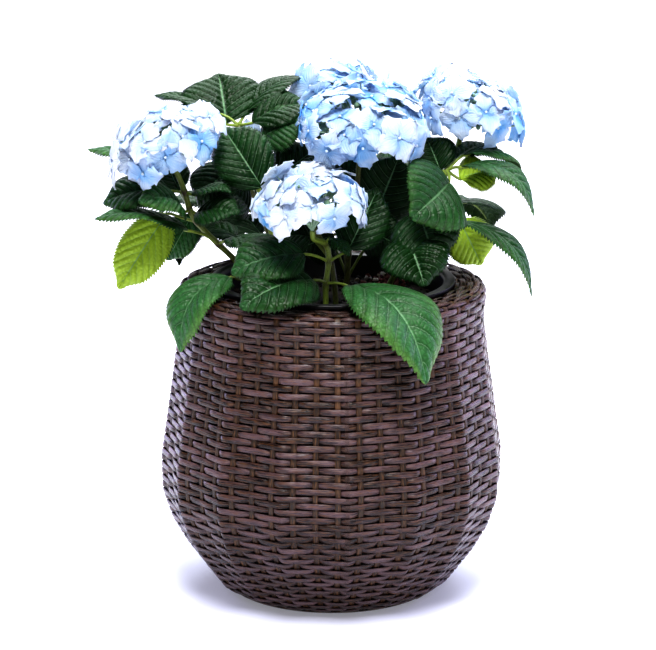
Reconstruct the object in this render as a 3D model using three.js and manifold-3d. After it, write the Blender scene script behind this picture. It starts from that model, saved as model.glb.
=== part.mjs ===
// Potted hydrangea: eight stems in a lined, fluted wicker planter, with six mophead flower heads.
// Millimetres, +Z up. The origin is the centre of the planter's base, on the floor, and the side
// that is seen first looks along +Y.
import * as THREE from 'three';
import { mergeVertices } from 'three/addons/utils/BufferGeometryUtils.js';
import Module from 'manifold-3d';

const wasm = await Module();
wasm.setup();

// Driving dimensions of the planter
const FACETS = 16;
const RIDGE_TURN = 5.7;
const AROUND = 2 * FACETS;
const GAP = 0.3;
const WALL = 7;
const BASE_THICKNESS = 9;
// Height and radius of the ridges, from the floor up to the turn of the rim
const OUTLINE = [[0, 125], [12, 139], [55, 171], [85, 188], [119, 199], [159, 200], [199, 194],
  [318, 177], [353, 178]];
// Height and depth of the flutes between the ridges
const FLUTES = [[0, 1.5], [45, 5], [90, 6.7], [150, 5], [200, 3.8], [260, 3], [320, 1.2], [353, 0]];
// Radius and height of the woven rim band, from the outside in and back under itself
const RIM = [[175.5, 360], [167, 363], [137, 361], [133, 357], [135, 350], [165, 351]];

// Driving dimensions of the frame, the liner and the soil
const RING_BAR = 6;
const RIB_BAR = 4;
const WALL_HEIGHTS = [345, 199, 119, 55];
const RIB_HEIGHTS = [12.3, 119, 338];
const RIB_MARGIN = 1.5;
const LINER = { rim: 141.5, flange: 12, top: 366, lip: 4.4, foot: 104, bottom: 112, wall: 2.4 };
const SOIL = { level: 340, crown: 5, grain: 2.2, rings: [124, 82, 40] };

// Driving dimensions of the plant
const BLADE = 1;
const STEM_RADIUS = 3.4;
const PETIOLE_RADIUS = 1.7;
// Widths past which a blade has rounded halves, and past which it has more teeth
const WIDE = 60;
const BROAD = 80;
const FLORET = 27;
const NECK = 3;
const LAYER = 3.4;
const CORE_FOOT = 0.8;
const HEAD_SPREAD = 1.12;
const GOLDEN_TURN = Math.PI * (3 - Math.sqrt(5));
// Reach, angle and lift of a sepal's corners: the notch beside it and its tip
const SEPAL = [[0.58, -Math.PI / 4, 0.6], [1, 0, -1]];

const UP = [0, 0, 1];
const FRONT = [0, -1, 0.25];
const TILTED = [0, -0.6, 1];

// Each stem has its route from its hole to its head, and its leaves. A leaf grows from the route's
// point with the number at, its blade runs from base to tip, and its upper side turns to face.
const STEMS = {
  front: {
    route: [[-6, -90, 300], [-7, -87, 350], [-7, -85, 379], [-4, -82, 403], [-7, -83, 424]],
    leaves: [
      { at: 3, base: [-31, -97, 415], tip: [-112, -122, 399], width: 74, bow: 8, face: TILTED },
      { at: 2, base: [-21, -106, 387], tip: [-100, -170, 370], width: 80, bow: 12, face: TILTED },
      { at: 3, base: [18, -80, 416], tip: [52, -52, 482], width: 58, bow: -6, face: FRONT },
      { at: 2, base: [19, -100, 379], tip: [103, -196, 292], width: 100, bow: 34 },
      { at: 4, base: [-3, -89, 431], tip: [19, -102, 414], width: 28, bow: 3 },
    ],
  },
  left: {
    route: [[-68, -12, 300], [-80, -13, 352], [-109, -15, 388], [-130, -20, 410],
      [-154, -26, 437], [-162, -28, 452], [-167, -30, 472]],
    leaves: [
      { at: 1, base: [-115, -54, 379], tip: [-171, -99, 303], width: 62, bow: 31, face: [-0.5, -0.6, 0.6] },
      { at: 3, base: [-119, -32, 417], tip: [-55, -72, 402], width: 62, bow: 9 },
      { at: 3, base: [-163, -42, 430], tip: [-267, -62, 448], width: 62, bow: 10 },
      { at: 5, base: [-170, -38, 449], tip: [-216, -78, 470], width: 60, bow: 14, face: TILTED },
      { at: 5, base: [-154, -38, 449], tip: [-104, -64, 455], width: 50, bow: 6, face: TILTED },
      { at: 4, base: [-189, -8, 443], tip: [-245, -22, 358], width: 54, bow: 8, face: FRONT },
      { at: 4, base: [-160, 4, 440], tip: [-190, 12, 384], width: 40, bow: 6, face: FRONT },
      { at: 3, base: [-148, 14, 420], tip: [-178, 30, 374], width: 42, bow: 6 },
      { at: 6, base: [-186, -26, 473], tip: [-260, -28, 459], width: 58, bow: 8, face: TILTED },
      { at: 5, base: [-178, 34, 480], tip: [-283, 56, 506], width: 52, bow: 6 },
      { at: 6, base: [-157, -34, 470], tip: [-113, -50, 476], width: 50, bow: 5 },
      { at: 5, base: [-174, 4, 466], tip: [-192, 30, 496], width: 38, bow: 4, face: FRONT },
    ],
  },
  centre: {
    route: [[14, 14, 300], [16, 14, 350], [22, 10, 420], [29, 2, 476]],
    leaves: [
      { at: 2, base: [48, 0, 436], tip: [76, -4, 508], width: 82, bow: -6, face: FRONT },
      { at: 3, base: [4, 2, 472], tip: [-44, -8, 496], width: 50, bow: 6, face: TILTED },
      { at: 2, base: [2, 22, 412], tip: [-38, 30, 394], width: 52, bow: 4, face: FRONT },
      { at: 3, base: [36, 28, 466], tip: [0, 54, 488], width: 54, bow: 4, face: FRONT },
      { at: 2, base: [40, -18, 426], tip: [78, -42, 412], width: 50, bow: 5, face: FRONT },
    ],
  },
  right: {
    route: [[58, 10, 300], [64, 10, 350], [92, 6, 405], [118, 4, 455], [131, 8, 490]],
    leaves: [
      { at: 2, base: [84, -54, 424], tip: [103, -106, 380], width: 76, bow: 8, face: [0, -1, 0.9] },
      { at: 4, base: [132, -28, 483], tip: [88, -96, 456], width: 92, bow: 12, face: [0.6, -0.6, 0.55] },
      { at: 3, base: [98, -34, 450], tip: [116, -80, 402], width: 78, bow: 8, face: FRONT },
      { at: 4, base: [146, -15, 498], tip: [229, -36, 447], width: 66, bow: 24 },
      { at: 4, base: [150, 16, 506], tip: [220, 36, 478], width: 60, bow: 14 },
      { at: 4, base: [142, 24, 500], tip: [188, 64, 508], width: 48, bow: 6 },
      { at: 4, base: [146, 8, 480], tip: [188, 22, 484], width: 56, bow: 5, face: TILTED },
      { at: 3, base: [146, 14, 432], tip: [173, 24, 376], width: 54, bow: 4, face: FRONT },
      { at: 3, base: [144, -12, 434], tip: [228, -32, 352], width: 50, bow: 24, face: [0.6, -0.2, 0.8] },
      { at: 2, base: [124, 44, 400], tip: [160, 76, 378], width: 46, bow: 8 },
      { at: 3, base: [136, 50, 440], tip: [188, 112, 402], width: 76, bow: 16 },
      { at: 4, base: [124, 6, 490], tip: [108, 22, 526], width: 50, bow: 3, face: FRONT },
    ],
  },
  back: {
    route: [[18, 66, 300], [18, 72, 350], [14, 88, 430], [13, 102, 496]],
    leaves: [
      { at: 1, base: [58, 108, 402], tip: [122, 168, 378], width: 79, bow: 22 },
      { at: 1, base: [-10, 118, 402], tip: [-40, 200, 366], width: 84, bow: 26 },
      { at: 2, base: [52, 118, 462], tip: [118, 168, 470], width: 78, bow: 12 },
      { at: 2, base: [-8, 124, 458], tip: [-34, 206, 452], width: 80, bow: 12 },
      { at: 3, base: [30, 126, 510], tip: [56, 196, 516], width: 72, bow: 10 },
      { at: 3, base: [-14, 110, 509], tip: [-62, 152, 522], width: 66, bow: 8 },
    ],
  },
  back_left: {
    route: [[-58, 68, 300], [-62, 74, 350], [-88, 97, 436]],
    leaves: [
      { at: 1, base: [-84, 112, 392], tip: [-122, 168, 366], width: 80, bow: 26 },
      { at: 2, base: [-124, 100, 430], tip: [-206, 128, 418], width: 80, bow: 12 },
      { at: 2, base: [-92, 132, 436], tip: [-104, 206, 430], width: 78, bow: 12 },
      { at: 1, base: [-112, 78, 396], tip: [-176, 104, 380], width: 74, bow: 16 },
    ],
  },
  shoot_left: {
    route: [[-48, 24, 300], [-54, 28, 350], [-76, 36, 430], [-98, 42, 505], [-108, 44, 536]],
    leaves: [
      { at: 4, base: [-122, 46, 537], tip: [-133, 104, 587], width: 94, bow: 4, face: [0, -0.4, 1] },
      { at: 4, base: [-130, 52, 548], tip: [-206, 76, 566], width: 42, bow: 6 },
      { at: 4, base: [-100, 56, 548], tip: [-33, 98, 585], width: 48, bow: 10 },
      { at: 4, base: [-92, 38, 540], tip: [-22, 54, 556], width: 56, bow: 12, face: TILTED },
      { at: 3, base: [-82, 26, 524], tip: [-30, 20, 544], width: 60, bow: 6, face: [0, -0.9, 1] },
      { at: 3, base: [-80, 40, 512], tip: [-44, 34, 508], width: 40, bow: 5 },
      { at: 3, base: [-114, 12, 492], tip: [-152, -8, 452], width: 62, bow: 8, face: TILTED },
      { at: 2, base: [-96, 12, 442], tip: [-126, 0, 470], width: 60, bow: 6, face: TILTED },
      { at: 2, base: [-64, 18, 474], tip: [-14, 44, 510], width: 60, bow: 6, face: [0, -0.9, 1] },
    ],
  },
  shoot_front: {
    route: [[6, -70, 300], [4, -68, 350], [-2, -60, 400], [-28, -46, 442], [-58, -36, 466]],
    leaves: [
      { at: 4, base: [-79, -32, 478], tip: [-124, 4, 540], width: 66, bow: 10, face: FRONT },
      { at: 3, base: [-38, -31, 448], tip: [-6, -22, 460], width: 36, bow: 5 },
      { at: 2, base: [-24, -52, 424], tip: [-62, -50, 420], width: 50, bow: 6, face: TILTED },
    ],
  },
};

// Each head stands on the stem of its name. Its florets lie on a dome with the radius and the rise
// given round its centre, and the dome's axis leans the way that the stem does.
const HEADS = {
  front: { centre: [-25, -104, 470], axis: [-0.1, -0.22, 0.95], radius: 57, rise: 36, florets: 19, seed: 3 },
  left: { centre: [-188, -40, 527], axis: [-0.35, -0.2, 0.9], radius: 58, rise: 36, florets: 19, seed: 5 },
  centre: { centre: [33, -15, 548], axis: [0.05, -0.3, 0.95], radius: 72, rise: 36, florets: 26, seed: 7 },
  right: { centre: [154, 44, 551], axis: [0.2, -0.15, 0.95], radius: 60, rise: 40, florets: 20, seed: 11 },
  back: { centre: [6, 122, 560], axis: [0, 0.3, 1], radius: 48, rise: 32, florets: 15, seed: 13 },
  back_left: {
    centre: [-106, 118, 486], axis: [-0.15, 0.3, 0.95], radius: 36, rise: 26, florets: 9, seed: 17,
  },
};

function material(color, roughness) {
  return new THREE.MeshStandardMaterial({ color, roughness, metalness: 0 });
}

const MATERIALS = {
  wicker: material(0x4a3630, 0.5),
  rod: new THREE.MeshStandardMaterial({ color: 0x2c2a29, roughness: 0.6, metalness: 0.8 }),
  liner: material(0x1c1b1e, 0.55),
  soil: material(0x2b1d15, 0.95),
  leaf: material(0x2f6b2c, 0.5),
  petal: material(0xc3d5f2, 0.6),
};

// Vectors and random draws

function vector(point) {
  return new THREE.Vector3(...point);
}

function mix(from, to, share) {
  return from.clone().lerp(to, share);
}

function randomDraws(seed) {
  let state = seed;
  return () => {
    state = (state * 16807) % 2147483647;
    return state / 2147483647;
  };
}

function tableValue(table, key) {
  const next = table.findIndex((row) => row[0] >= key);
  if (next <= 0) return table[next === 0 ? 0 : table.length - 1][1];
  const [fromKey, fromValue] = table[next - 1];
  const [toKey, toValue] = table[next];
  return fromValue + ((toValue - fromValue) * (key - fromKey)) / (toKey - fromKey);
}

// Solids, joins and cuts

function indexed(positions, triangles) {
  const geometry = new THREE.BufferGeometry();
  geometry.setAttribute('position', new THREE.Float32BufferAttribute(positions, 3));
  geometry.setIndex(triangles);
  return geometry;
}

function solid(geometry) {
  const bare = geometry.clone();
  bare.deleteAttribute('normal');
  bare.deleteAttribute('uv');
  const merged = mergeVertices(bare, 1e-4);
  return new wasm.Manifold(new wasm.Mesh({
    numProp: 3,
    vertProperties: new Float32Array(merged.attributes.position.array),
    triVerts: new Uint32Array(merged.index.array),
  }));
}

function join(solids) {
  return solids.reduce((sum, next) => sum.add(next));
}

// The outer body alone: small scraps are dropped and hollows that joining sealed are filled
function mainBody(joined) {
  const bodies = joined.decompose();
  return bodies.reduce((best, next) => (next.volume() > best.volume() ? next : best));
}

function node(name, body, finish) {
  const { vertProperties, triVerts } = body.getMesh();
  const geometry = indexed(Array.from(vertProperties), Array.from(triVerts));
  const mesh = new THREE.Mesh(geometry, finish);
  mesh.name = name;
  return mesh;
}

function rod(points, radius, sides, steps) {
  const shape = new THREE.Shape();
  for (let side = 0; side < sides; side += 1) {
    const angle = (side / sides) * 2 * Math.PI;
    const corner = [radius * Math.cos(angle), radius * Math.sin(angle)];
    if (side === 0) shape.moveTo(...corner);
    else shape.lineTo(...corner);
  }
  const path = points.length === 2
    ? new THREE.LineCurve3(...points)
    : new THREE.CatmullRomCurve3(points, false, 'centripetal');
  return solid(new THREE.ExtrudeGeometry(shape, { steps, bevelEnabled: false, extrudePath: path }));
}

// A closed ring of rows: each row is a loop of points round the Z axis, and the last row joins
// the first, or closes on a centre point at each end where capped is true
function loopSolid(rows, capped) {
  const count = rows[0].length;
  const positions = rows.flat(2);
  const triangles = [];
  const last = capped ? rows.length - 1 : rows.length;
  for (let row = 0; row < last; row += 1) {
    const next = ((row + 1) % rows.length) * count;
    for (let step = 0; step < count; step += 1) {
      const turn = (step + 1) % count;
      triangles.push(row * count + step, row * count + turn, next + turn);
      triangles.push(row * count + step, next + turn, next + step);
    }
  }
  if (capped) {
    const bottom = positions.length / 3;
    positions.push(0, 0, rows[0][0][2], 0, 0, rows.at(-1)[0][2]);
    for (let step = 0; step < count; step += 1) {
      const turn = (step + 1) % count;
      triangles.push(bottom, turn, step);
      triangles.push(bottom + 1, last * count + step, last * count + turn);
    }
  }
  return solid(indexed(positions, triangles));
}

// Planter

function turnAt(step, count) {
  return THREE.MathUtils.degToRad(RIDGE_TURN - 90 + (360 * step) / count);
}

function wickerRow(radius, height, depth) {
  return Array.from({ length: AROUND }, (_, step) => {
    const reach = radius - (step % 2) * depth;
    const angle = turnAt(step, AROUND);
    return [reach * Math.cos(angle), reach * Math.sin(angle), height];
  });
}

// One shell from the base, up the fluted wall, over the woven rim and down the inside
function basket() {
  const outside = OUTLINE.map(([height, radius]) => (
    wickerRow(radius, height, tableValue(FLUTES, height))));
  const rim = RIM.map(([radius, height]) => wickerRow(radius, height, 0));
  const inside = WALL_HEIGHTS.map((height) => (
    wickerRow(tableValue(OUTLINE, height) - WALL, height, tableValue(FLUTES, height))));
  const floorRow = wickerRow(OUTLINE[1][1] - WALL, BASE_THICKNESS, 0);
  return loopSolid([...outside, ...rim, ...inside, floorRow], true);
}

// A bar of four-cornered rows, flat at both ends
function barSolid(rows) {
  const triangles = [0, 2, 1, 0, 3, 2];
  const last = 4 * (rows.length - 1);
  triangles.push(last, last + 1, last + 2, last, last + 2, last + 3);
  for (let row = 0; row < last; row += 4) {
    for (let side = 0; side < 4; side += 1) {
      const turn = (side + 1) % 4;
      triangles.push(row + side, row + turn, row + 4 + turn, row + side, row + 4 + turn, row + 4 + side);
    }
  }
  return solid(indexed(rows.flat(2), triangles));
}

function ring(radius, height) {
  const half = RING_BAR / 2;
  const profile = [[radius - half, height - half], [radius + half, height - half],
    [radius + half, height + half], [radius - half, height + half]];
  const rows = profile.map(([reach, level]) => (
    Array.from({ length: FACETS }, (_, step) => {
      const angle = turnAt(step, FACETS);
      return [reach * Math.cos(angle), reach * Math.sin(angle), level];
    })));
  return loopSolid(rows, false);
}

function ribRadius(height) {
  return tableValue(OUTLINE, height) - WALL - RIB_MARGIN;
}

// A flat bar up the inside of the wall, with a corner at each rib height
function rib(angle) {
  const sideways = new THREE.Vector3(-Math.sin(angle), Math.cos(angle), 0).multiplyScalar(RIB_BAR / 2);
  const corners = [[0, -1], [0, 1], [-RIB_BAR, 1], [-RIB_BAR, -1]];
  const rows = RIB_HEIGHTS.map((height) => corners.map(([depth, side]) => {
    const reach = ribRadius(height) + depth;
    return [reach * Math.cos(angle) + side * sideways.x,
      reach * Math.sin(angle) + side * sideways.y, height];
  }));
  return barSolid(rows);
}

// Sixteen ribs behind the ridges, welded to a base ring and a top ring
function frame() {
  const rings = [RIB_HEIGHTS[0], RIB_HEIGHTS.at(-1)].map((height) => (
    ring(ribRadius(height) - RIB_BAR / 2, height)));
  const ribs = Array.from({ length: FACETS }, (_, step) => rib(turnAt(step, FACETS)));
  return mainBody(join([...rings, ...ribs]));
}

function lathe(profile) {
  const points = profile.map(([radius, height]) => new THREE.Vector2(radius, height));
  const geometry = new THREE.LatheGeometry(points, AROUND);
  return solid(geometry.rotateX(Math.PI / 2));
}

// Plastic pot with a flat flange that lies on the woven rim
function liner() {
  const { rim, flange, top, lip, foot, bottom, wall } = LINER;
  const mouth = rim - flange;
  return lathe([[0, bottom], [foot, bottom], [mouth + 1, top - lip], [rim, top - lip], [rim, top],
    [mouth, top], [mouth - 1.5, top - 3], [foot - wall, bottom + wall], [0, bottom + wall],
    [0, bottom]]);
}

function linerInside(height) {
  const { rim, flange, top, foot, bottom, wall } = LINER;
  const share = (height - bottom - wall) / (top - 3 - bottom - wall);
  return foot - wall + share * (rim - flange - 1.5 - foot + wall);
}

// Filled to below the flange, a little higher in the middle, with a crumbly top
function soil(holes) {
  const draw = randomDraws(29);
  const bottom = LINER.bottom + LINER.wall + GAP;
  const { level, crown, grain, rings } = SOIL;
  const row = (radius, height, roughness) => Array.from({ length: AROUND / 2 }, (_, step) => {
    const angle = turnAt(step, AROUND / 2);
    return [radius * Math.cos(angle), radius * Math.sin(angle), height + roughness * (draw() - 0.5)];
  });
  const rows = [row(linerInside(bottom) - 2 * GAP, bottom, 0),
    ...rings.map((radius, step) => row(radius, level + (crown * step) / rings.length, 2 * grain))];
  return mainBody(holes.reduce((ground, hole) => ground.subtract(hole), loopSolid(rows, true)));
}

// Leaves

function leafFrame({ base, tip, width, bow, face = UP }) {
  const start = vector(base);
  const along = vector(tip).sub(start);
  const length = along.length();
  along.normalize();
  const up = vector(face);
  up.addScaledVector(along, -up.dot(along)).normalize();
  return { start, along, length, up, side: along.clone().cross(up), width, bow };
}

// Half width of the blade: a broad base, widest before the middle and a long pointed tip
function halfWidth(share) {
  return 1.44 * share ** 0.68 * (1 - share) ** 0.86;
}

// A point on the blade, with share from 0 at its base to 1 at its tip and across from -1 to 1.
// The halves rise from the midrib and roll over towards their edges, and the midrib is bowed.
function leafPoint(leaf, share, across) {
  const reach = leaf.width * halfWidth(share);
  const wide = Math.abs(across);
  const lift = reach * (0.42 * wide - 0.4 * wide ** 2.4);
  const wave = 0.035 * leaf.width * wide ** 2 * Math.sin(9 * share + (across > 0 ? 1 : 3));
  return leaf.start.clone()
    .addScaledVector(leaf.along, leaf.length * share)
    .addScaledVector(leaf.side, reach * across)
    .addScaledVector(leaf.up, leaf.bow * 4 * share * (1 - share) + lift + wave);
}

function leafNormal(leaf, share, across) {
  const step = 0.04;
  const low = Math.max(share - step, 0.02);
  const high = Math.min(share + step, 0.98);
  const long = leafPoint(leaf, high, across).sub(leafPoint(leaf, low, across));
  const middle = (low + high) / 2;
  const wide = leafPoint(leaf, middle, Math.max(across - 0.1, -1));
  return leafPoint(leaf, middle, Math.min(across + 0.1, 1)).sub(wide).cross(long).normalize();
}

// Triangles between two rows of points that may differ in number and may share their ends
function stitch(near, far) {
  const triangles = [];
  const add = (...corners) => {
    if (new Set(corners).size === 3) triangles.push(corners);
  };
  let i = 0;
  let j = 0;
  while (i < near.length - 1 || j < far.length - 1) {
    const nearNext = i < near.length - 1 ? (i + 1) / (near.length - 1) : 2;
    const farNext = j < far.length - 1 ? (j + 1) / (far.length - 1) : 2;
    if (nearNext < farNext) {
      add(near[i], near[i + 1], far[j]);
      i += 1;
    } else {
      add(near[i], far[j + 1], far[j]);
      j += 1;
    }
  }
  return triangles;
}

// Four corners of a leaf stalk's section: above, right, below and left of its middle
function stalkSection(leaf, middle, direction) {
  const turn = new THREE.Quaternion().setFromUnitVectors(leaf.along, direction);
  const up = leaf.up.clone().applyQuaternion(turn).multiplyScalar(PETIOLE_RADIUS);
  const side = leaf.side.clone().applyQuaternion(turn).multiplyScalar(PETIOLE_RADIUS);
  return [up, side, up.clone().negate(), side.clone().negate()].map((corner) => corner.add(middle));
}

// A blade with a toothed edge and its stalk, as one piece. The blade has an even thickness, with
// both faces split alike, and narrows at its base into the four corners of the stalk.
function stalkedLeaf(from, entry) {
  const leaf = leafFrame(entry);
  const teeth = 3 + (leaf.width > WIDE ? 1 : 0) + (leaf.width > BROAD ? 2 : 0);
  const positions = [];
  const triangles = [];
  const under = new Map();
  const put = (point) => positions.push(...point.toArray()) / 3 - 1;
  const place = (share, across, tooth) => {
    const reach = across * (1 + 0.1 * tooth);
    const [above, below] = [1, -1].map((sense) => put(
      leafPoint(leaf, share + 0.03 * tooth * (1 - share), reach)
        .addScaledVector(leafNormal(leaf, share, across), (sense * BLADE) / 2)));
    under.set(above, below);
    return above;
  };
  const reach = from.distanceTo(leaf.start);
  const rise = mix(from, leaf.start, 0.5).addScaledVector(leaf.up, 0.08 * reach);
  const path = reach > 25 ? [leaf.start, rise, from] : [leaf.start, from];
  const sections = path.map((middle, step) => stalkSection(leaf, middle, step === 0
    ? leaf.along
    : path[step - 1].clone().sub(middle).normalize()).map(put));
  const [top, rightEnd, bottom, leftEnd] = sections[0];
  under.set(top, bottom).set(rightEnd, rightEnd).set(leftEnd, leftEnd);

  const tip = place(0.995, 0, 0);
  const row = (start, across, count, toothed) => {
    const inner = Array.from({ length: count }, (_, step) => (
      place((step + 1) / (count + 1), across, toothed && step % 2 === 0 ? 1 : 0)));
    return [start, ...inner, tip];
  };
  const midrib = row(top, 0, 3, false);
  const [right, left] = [[1, rightEnd], [-1, leftEnd]].map(([half, end]) => ({
    quarter: leaf.width > WIDE ? row(top, 0.55 * half, 3, false) : midrib,
    edge: row(end, half, 2 * teeth, true),
  }));
  const flip = ([first, second, third]) => [first, third, second];
  const halves = [...stitch(midrib, right.quarter), ...stitch(right.quarter, right.edge),
    ...stitch(midrib, left.quarter).map(flip), ...stitch(left.quarter, left.edge).map(flip)];
  halves.forEach((triangle) => {
    triangles.push(flip(triangle), triangle.map((corner) => under.get(corner)));
  });
  const outline = [...right.edge, ...left.edge.slice(0, -1).reverse()];
  outline.slice(1).forEach((next, step) => {
    const corner = outline[step];
    triangles.push([next, corner, under.get(corner)], [next, under.get(corner), under.get(next)]);
  });
  for (let step = 1; step < sections.length; step += 1) {
    sections[step].forEach((corner, side) => {
      const turn = (side + 1) % 4;
      triangles.push([corner, sections[step - 1][turn], sections[step - 1][side]],
        [corner, sections[step][turn], sections[step - 1][turn]]);
    });
  }
  const [first, second, third, fourth] = sections.at(-1);
  triangles.push([first, third, second], [first, fourth, third]);
  const whole = triangles.filter((triangle) => new Set(triangle).size === 3);
  return solid(indexed(positions, whole.flat()));
}

// The route's own points, and for a stem with a flower head a straight end on the head's axis
function stemPoints(name) {
  const points = STEMS[name].route.map(vector);
  if (HEADS[name]) {
    const { seat, up } = headFrame(HEADS[name]);
    points.push(seat.clone().addScaledVector(up, -3 * STEM_RADIUS), seat.addScaledVector(up, -GAP));
  }
  return points;
}

function stemRod(points, radius, sides) {
  return rod(points, radius, sides, points.length + 1);
}

// A stem with its leaf stalks and leaves, grown together
function leafyStem(name) {
  const points = stemPoints(name);
  const parts = [stemRod(points, STEM_RADIUS, 5)];
  STEMS[name].leaves.forEach((entry) => {
    parts.push(stalkedLeaf(points[entry.at], entry));
  });
  return mainBody(join(parts));
}

// A plain hole that follows the stem and ends just below it
function stemHole(name) {
  const points = stemPoints(name);
  points[0].z -= GAP;
  return stemRod(points, STEM_RADIUS + 3 * GAP, 5);
}

// Flower heads

function headFrame({ centre, axis, rise }) {
  const up = vector(axis).normalize();
  const middle = vector(centre);
  return { up, middle, seat: middle.clone().addScaledVector(up, -CORE_FOOT * rise) };
}

// One floret: four pointed sepals round an eye, bent down to follow the dome, on a short stalk
function floret({ place, out, foot }, spin, size, bend) {
  const turn = new THREE.Quaternion().setFromUnitVectors(new THREE.Vector3(0, 0, 1), out);
  const point = (radius, angle, height) => (
    new THREE.Vector3(radius * Math.cos(angle), radius * Math.sin(angle), height - bend * radius ** 2)
      .applyQuaternion(turn).add(place).toArray());
  const outline = [0, 1, 2, 3].flatMap((petal) => SEPAL.map(([reach, angle, height]) => (
    point(reach * size, spin + (petal * Math.PI) / 2 + angle, height))));
  const neck = [0, 1, 2, 3].map((side) => point(NECK, spin + ((side - 0.5) * Math.PI) / 2, -NECK));
  const positions = [...outline, ...neck, point(0, 0, -0.5), foot.toArray()].flat();
  const rim = outline.length;
  const triangles = [];
  outline.forEach((_, step) => {
    const next = (step + 1) % rim;
    const side = rim + (Math.floor((step + 1) / 2) % 4);
    const sideNext = rim + ((side - rim + 1) % 4);
    triangles.push(rim + 4, step, next, next, step, side);
    if (step % 2 === 0) triangles.push(sideNext, next, side);
    else triangles.push(rim + 5, sideNext, side);
  });
  return solid(indexed(positions, triangles));
}

// The lowest layer whose florets all lie clear of this one, so that sepals pass over each other
function freeLayer(place, placed) {
  const near = placed.filter((other) => other.spot.distanceTo(place) < 1.75 * FLORET);
  return [0, 1, 2, 3].find((layer) => near.every((other) => other.layer !== layer)) ?? 3;
}

function head(entry) {
  const { middle, up } = headFrame(entry);
  const { radius, rise, florets, seed } = entry;
  const draw = randomDraws(seed * 7919);
  const stand = new THREE.Quaternion().setFromUnitVectors(new THREE.Vector3(0, 0, 1), up);
  const placed = [];
  const parts = [core(middle, stand, radius, rise)];
  for (let number = 0; number < florets; number += 1) {
    const cosine = 1 - (HEAD_SPREAD * (number + 0.4)) / florets;
    const sine = Math.sqrt(1 - cosine * cosine);
    const angle = number * GOLDEN_TURN + seed;
    const dome = new THREE.Vector3(sine * Math.cos(angle), sine * Math.sin(angle), cosine);
    const spot = dome.clone().multiply(new THREE.Vector3(radius, radius, rise));
    const out = dome.divide(new THREE.Vector3(radius, radius, rise)).normalize();
    const layer = freeLayer(spot, placed);
    placed.push({ spot, layer });
    const foot = spot.clone().multiplyScalar(0.6).applyQuaternion(stand).add(middle);
    const place = spot.clone().addScaledVector(out, (layer - 1) * LAYER);
    parts.push(floret({
      place: place.applyQuaternion(stand).add(middle),
      out: out.applyQuaternion(stand),
      foot,
    }, draw() * Math.PI, FLORET * (0.92 + 0.16 * draw()), 0.55 / radius));
  }
  return mainBody(join(parts));
}

// The green middle of a head: stalks in a rounded mass that stands on the stem's cut top
function core(middle, stand, radius, rise) {
  const profile = [[0, -CORE_FOOT], [4.5 / radius, -CORE_FOOT], [0.6, -0.2], [0.68, 0.12],
    [0.5, 0.52], [0, 0.68]];
  const points = profile.map(([reach, level]) => new THREE.Vector2(reach * radius, level * rise));
  const geometry = new THREE.LatheGeometry(points, 8).rotateX(Math.PI / 2);
  return solid(geometry.applyQuaternion(stand).translate(...middle.toArray()));
}

// The whole plant in its planter

const plant = new THREE.Group();
plant.add(node('wicker_planter', basket(), MATERIALS.wicker));
plant.add(node('planter_frame', frame(), MATERIALS.rod));
plant.add(node('liner_pot', liner(), MATERIALS.liner));
plant.add(node('soil', soil(Object.keys(STEMS).map(stemHole)), MATERIALS.soil));
Object.keys(STEMS).forEach((name) => {
  plant.add(node(`stem_${name}`, leafyStem(name), MATERIALS.leaf));
});
Object.entries(HEADS).forEach(([name, entry]) => {
  plant.add(node(`flower_head_${name}`, head(entry), MATERIALS.petal));
});

export default plant;
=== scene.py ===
"""Looks of a potted hydrangea: a woven planter with its liner and soil, and the leafy, flowering plant.

Metres, +Z up, the origin at the centre of the planter's base. Tables of the plant's shape are in
millimetres, with the same values as the solids that the pieces stand for.
"""

import logging
import math
from collections.abc import Iterator, Sequence
from dataclasses import dataclass, field
from enum import Enum
from functools import cache, cached_property, partial, reduce

import bpy
import numpy as np
from mathutils import Matrix, Vector, noise


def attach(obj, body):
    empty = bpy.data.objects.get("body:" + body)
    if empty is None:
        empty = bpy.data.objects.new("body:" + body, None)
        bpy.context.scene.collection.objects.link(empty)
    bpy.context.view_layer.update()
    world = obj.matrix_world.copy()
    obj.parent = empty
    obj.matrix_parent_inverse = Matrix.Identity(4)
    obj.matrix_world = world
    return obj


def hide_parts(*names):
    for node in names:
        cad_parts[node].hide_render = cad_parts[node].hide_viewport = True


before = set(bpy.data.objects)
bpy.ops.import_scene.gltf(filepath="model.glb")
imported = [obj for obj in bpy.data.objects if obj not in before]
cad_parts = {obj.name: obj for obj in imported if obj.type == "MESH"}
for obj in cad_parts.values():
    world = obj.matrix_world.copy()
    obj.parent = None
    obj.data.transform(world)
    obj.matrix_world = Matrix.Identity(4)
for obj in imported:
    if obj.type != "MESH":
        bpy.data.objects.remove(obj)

LOG = logging.getLogger("hydrangea")
MM = 0.001
Point = tuple[float, float, float]
Colour = tuple[float, float, float, float]
Faces = list[list[int]]

UP: Point = (0, 0, 1)
FRONT: Point = (0, -1, 0.25)
TILTED: Point = (0, -0.6, 1)

# Side veins leave the midrib in pairs and sweep towards the tip, in the blades and in their finish.
VEIN_PAIRS = 8
VEIN_SWEEP = 0.36
VEIN_BELLY = 0.8
VEIN_CURVE = 1.15

# Florets lie by the golden angle, and the draws are the solids' own, so that the florets agree.
GOLDEN_ANGLE = math.pi * (3 - math.sqrt(5))
SEED_STEP = 7919
DRAW_FACTOR = 16807
DRAW_RANGE = 2147483647

# How far apart points still count as one, and from what angle an edge is bevelled or stays sharp.
MERGE_REACH = 0.02 * MM
BEVEL_SEGMENTS = 3
BEVEL_ANGLE = math.radians(30)
SMOOTH_ANGLE = math.radians(40)

# A way in which no tube starts, from which its first section is turned.
OFF_AXIS: Point = (0.3, 0.9, 0.2)


class Slot(Enum):
    """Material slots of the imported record."""

    WICKER = "wicker"
    LINER = "liner"
    SOIL = "soil"
    LEAF = "leaf"
    PETAL = "petal"


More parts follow.
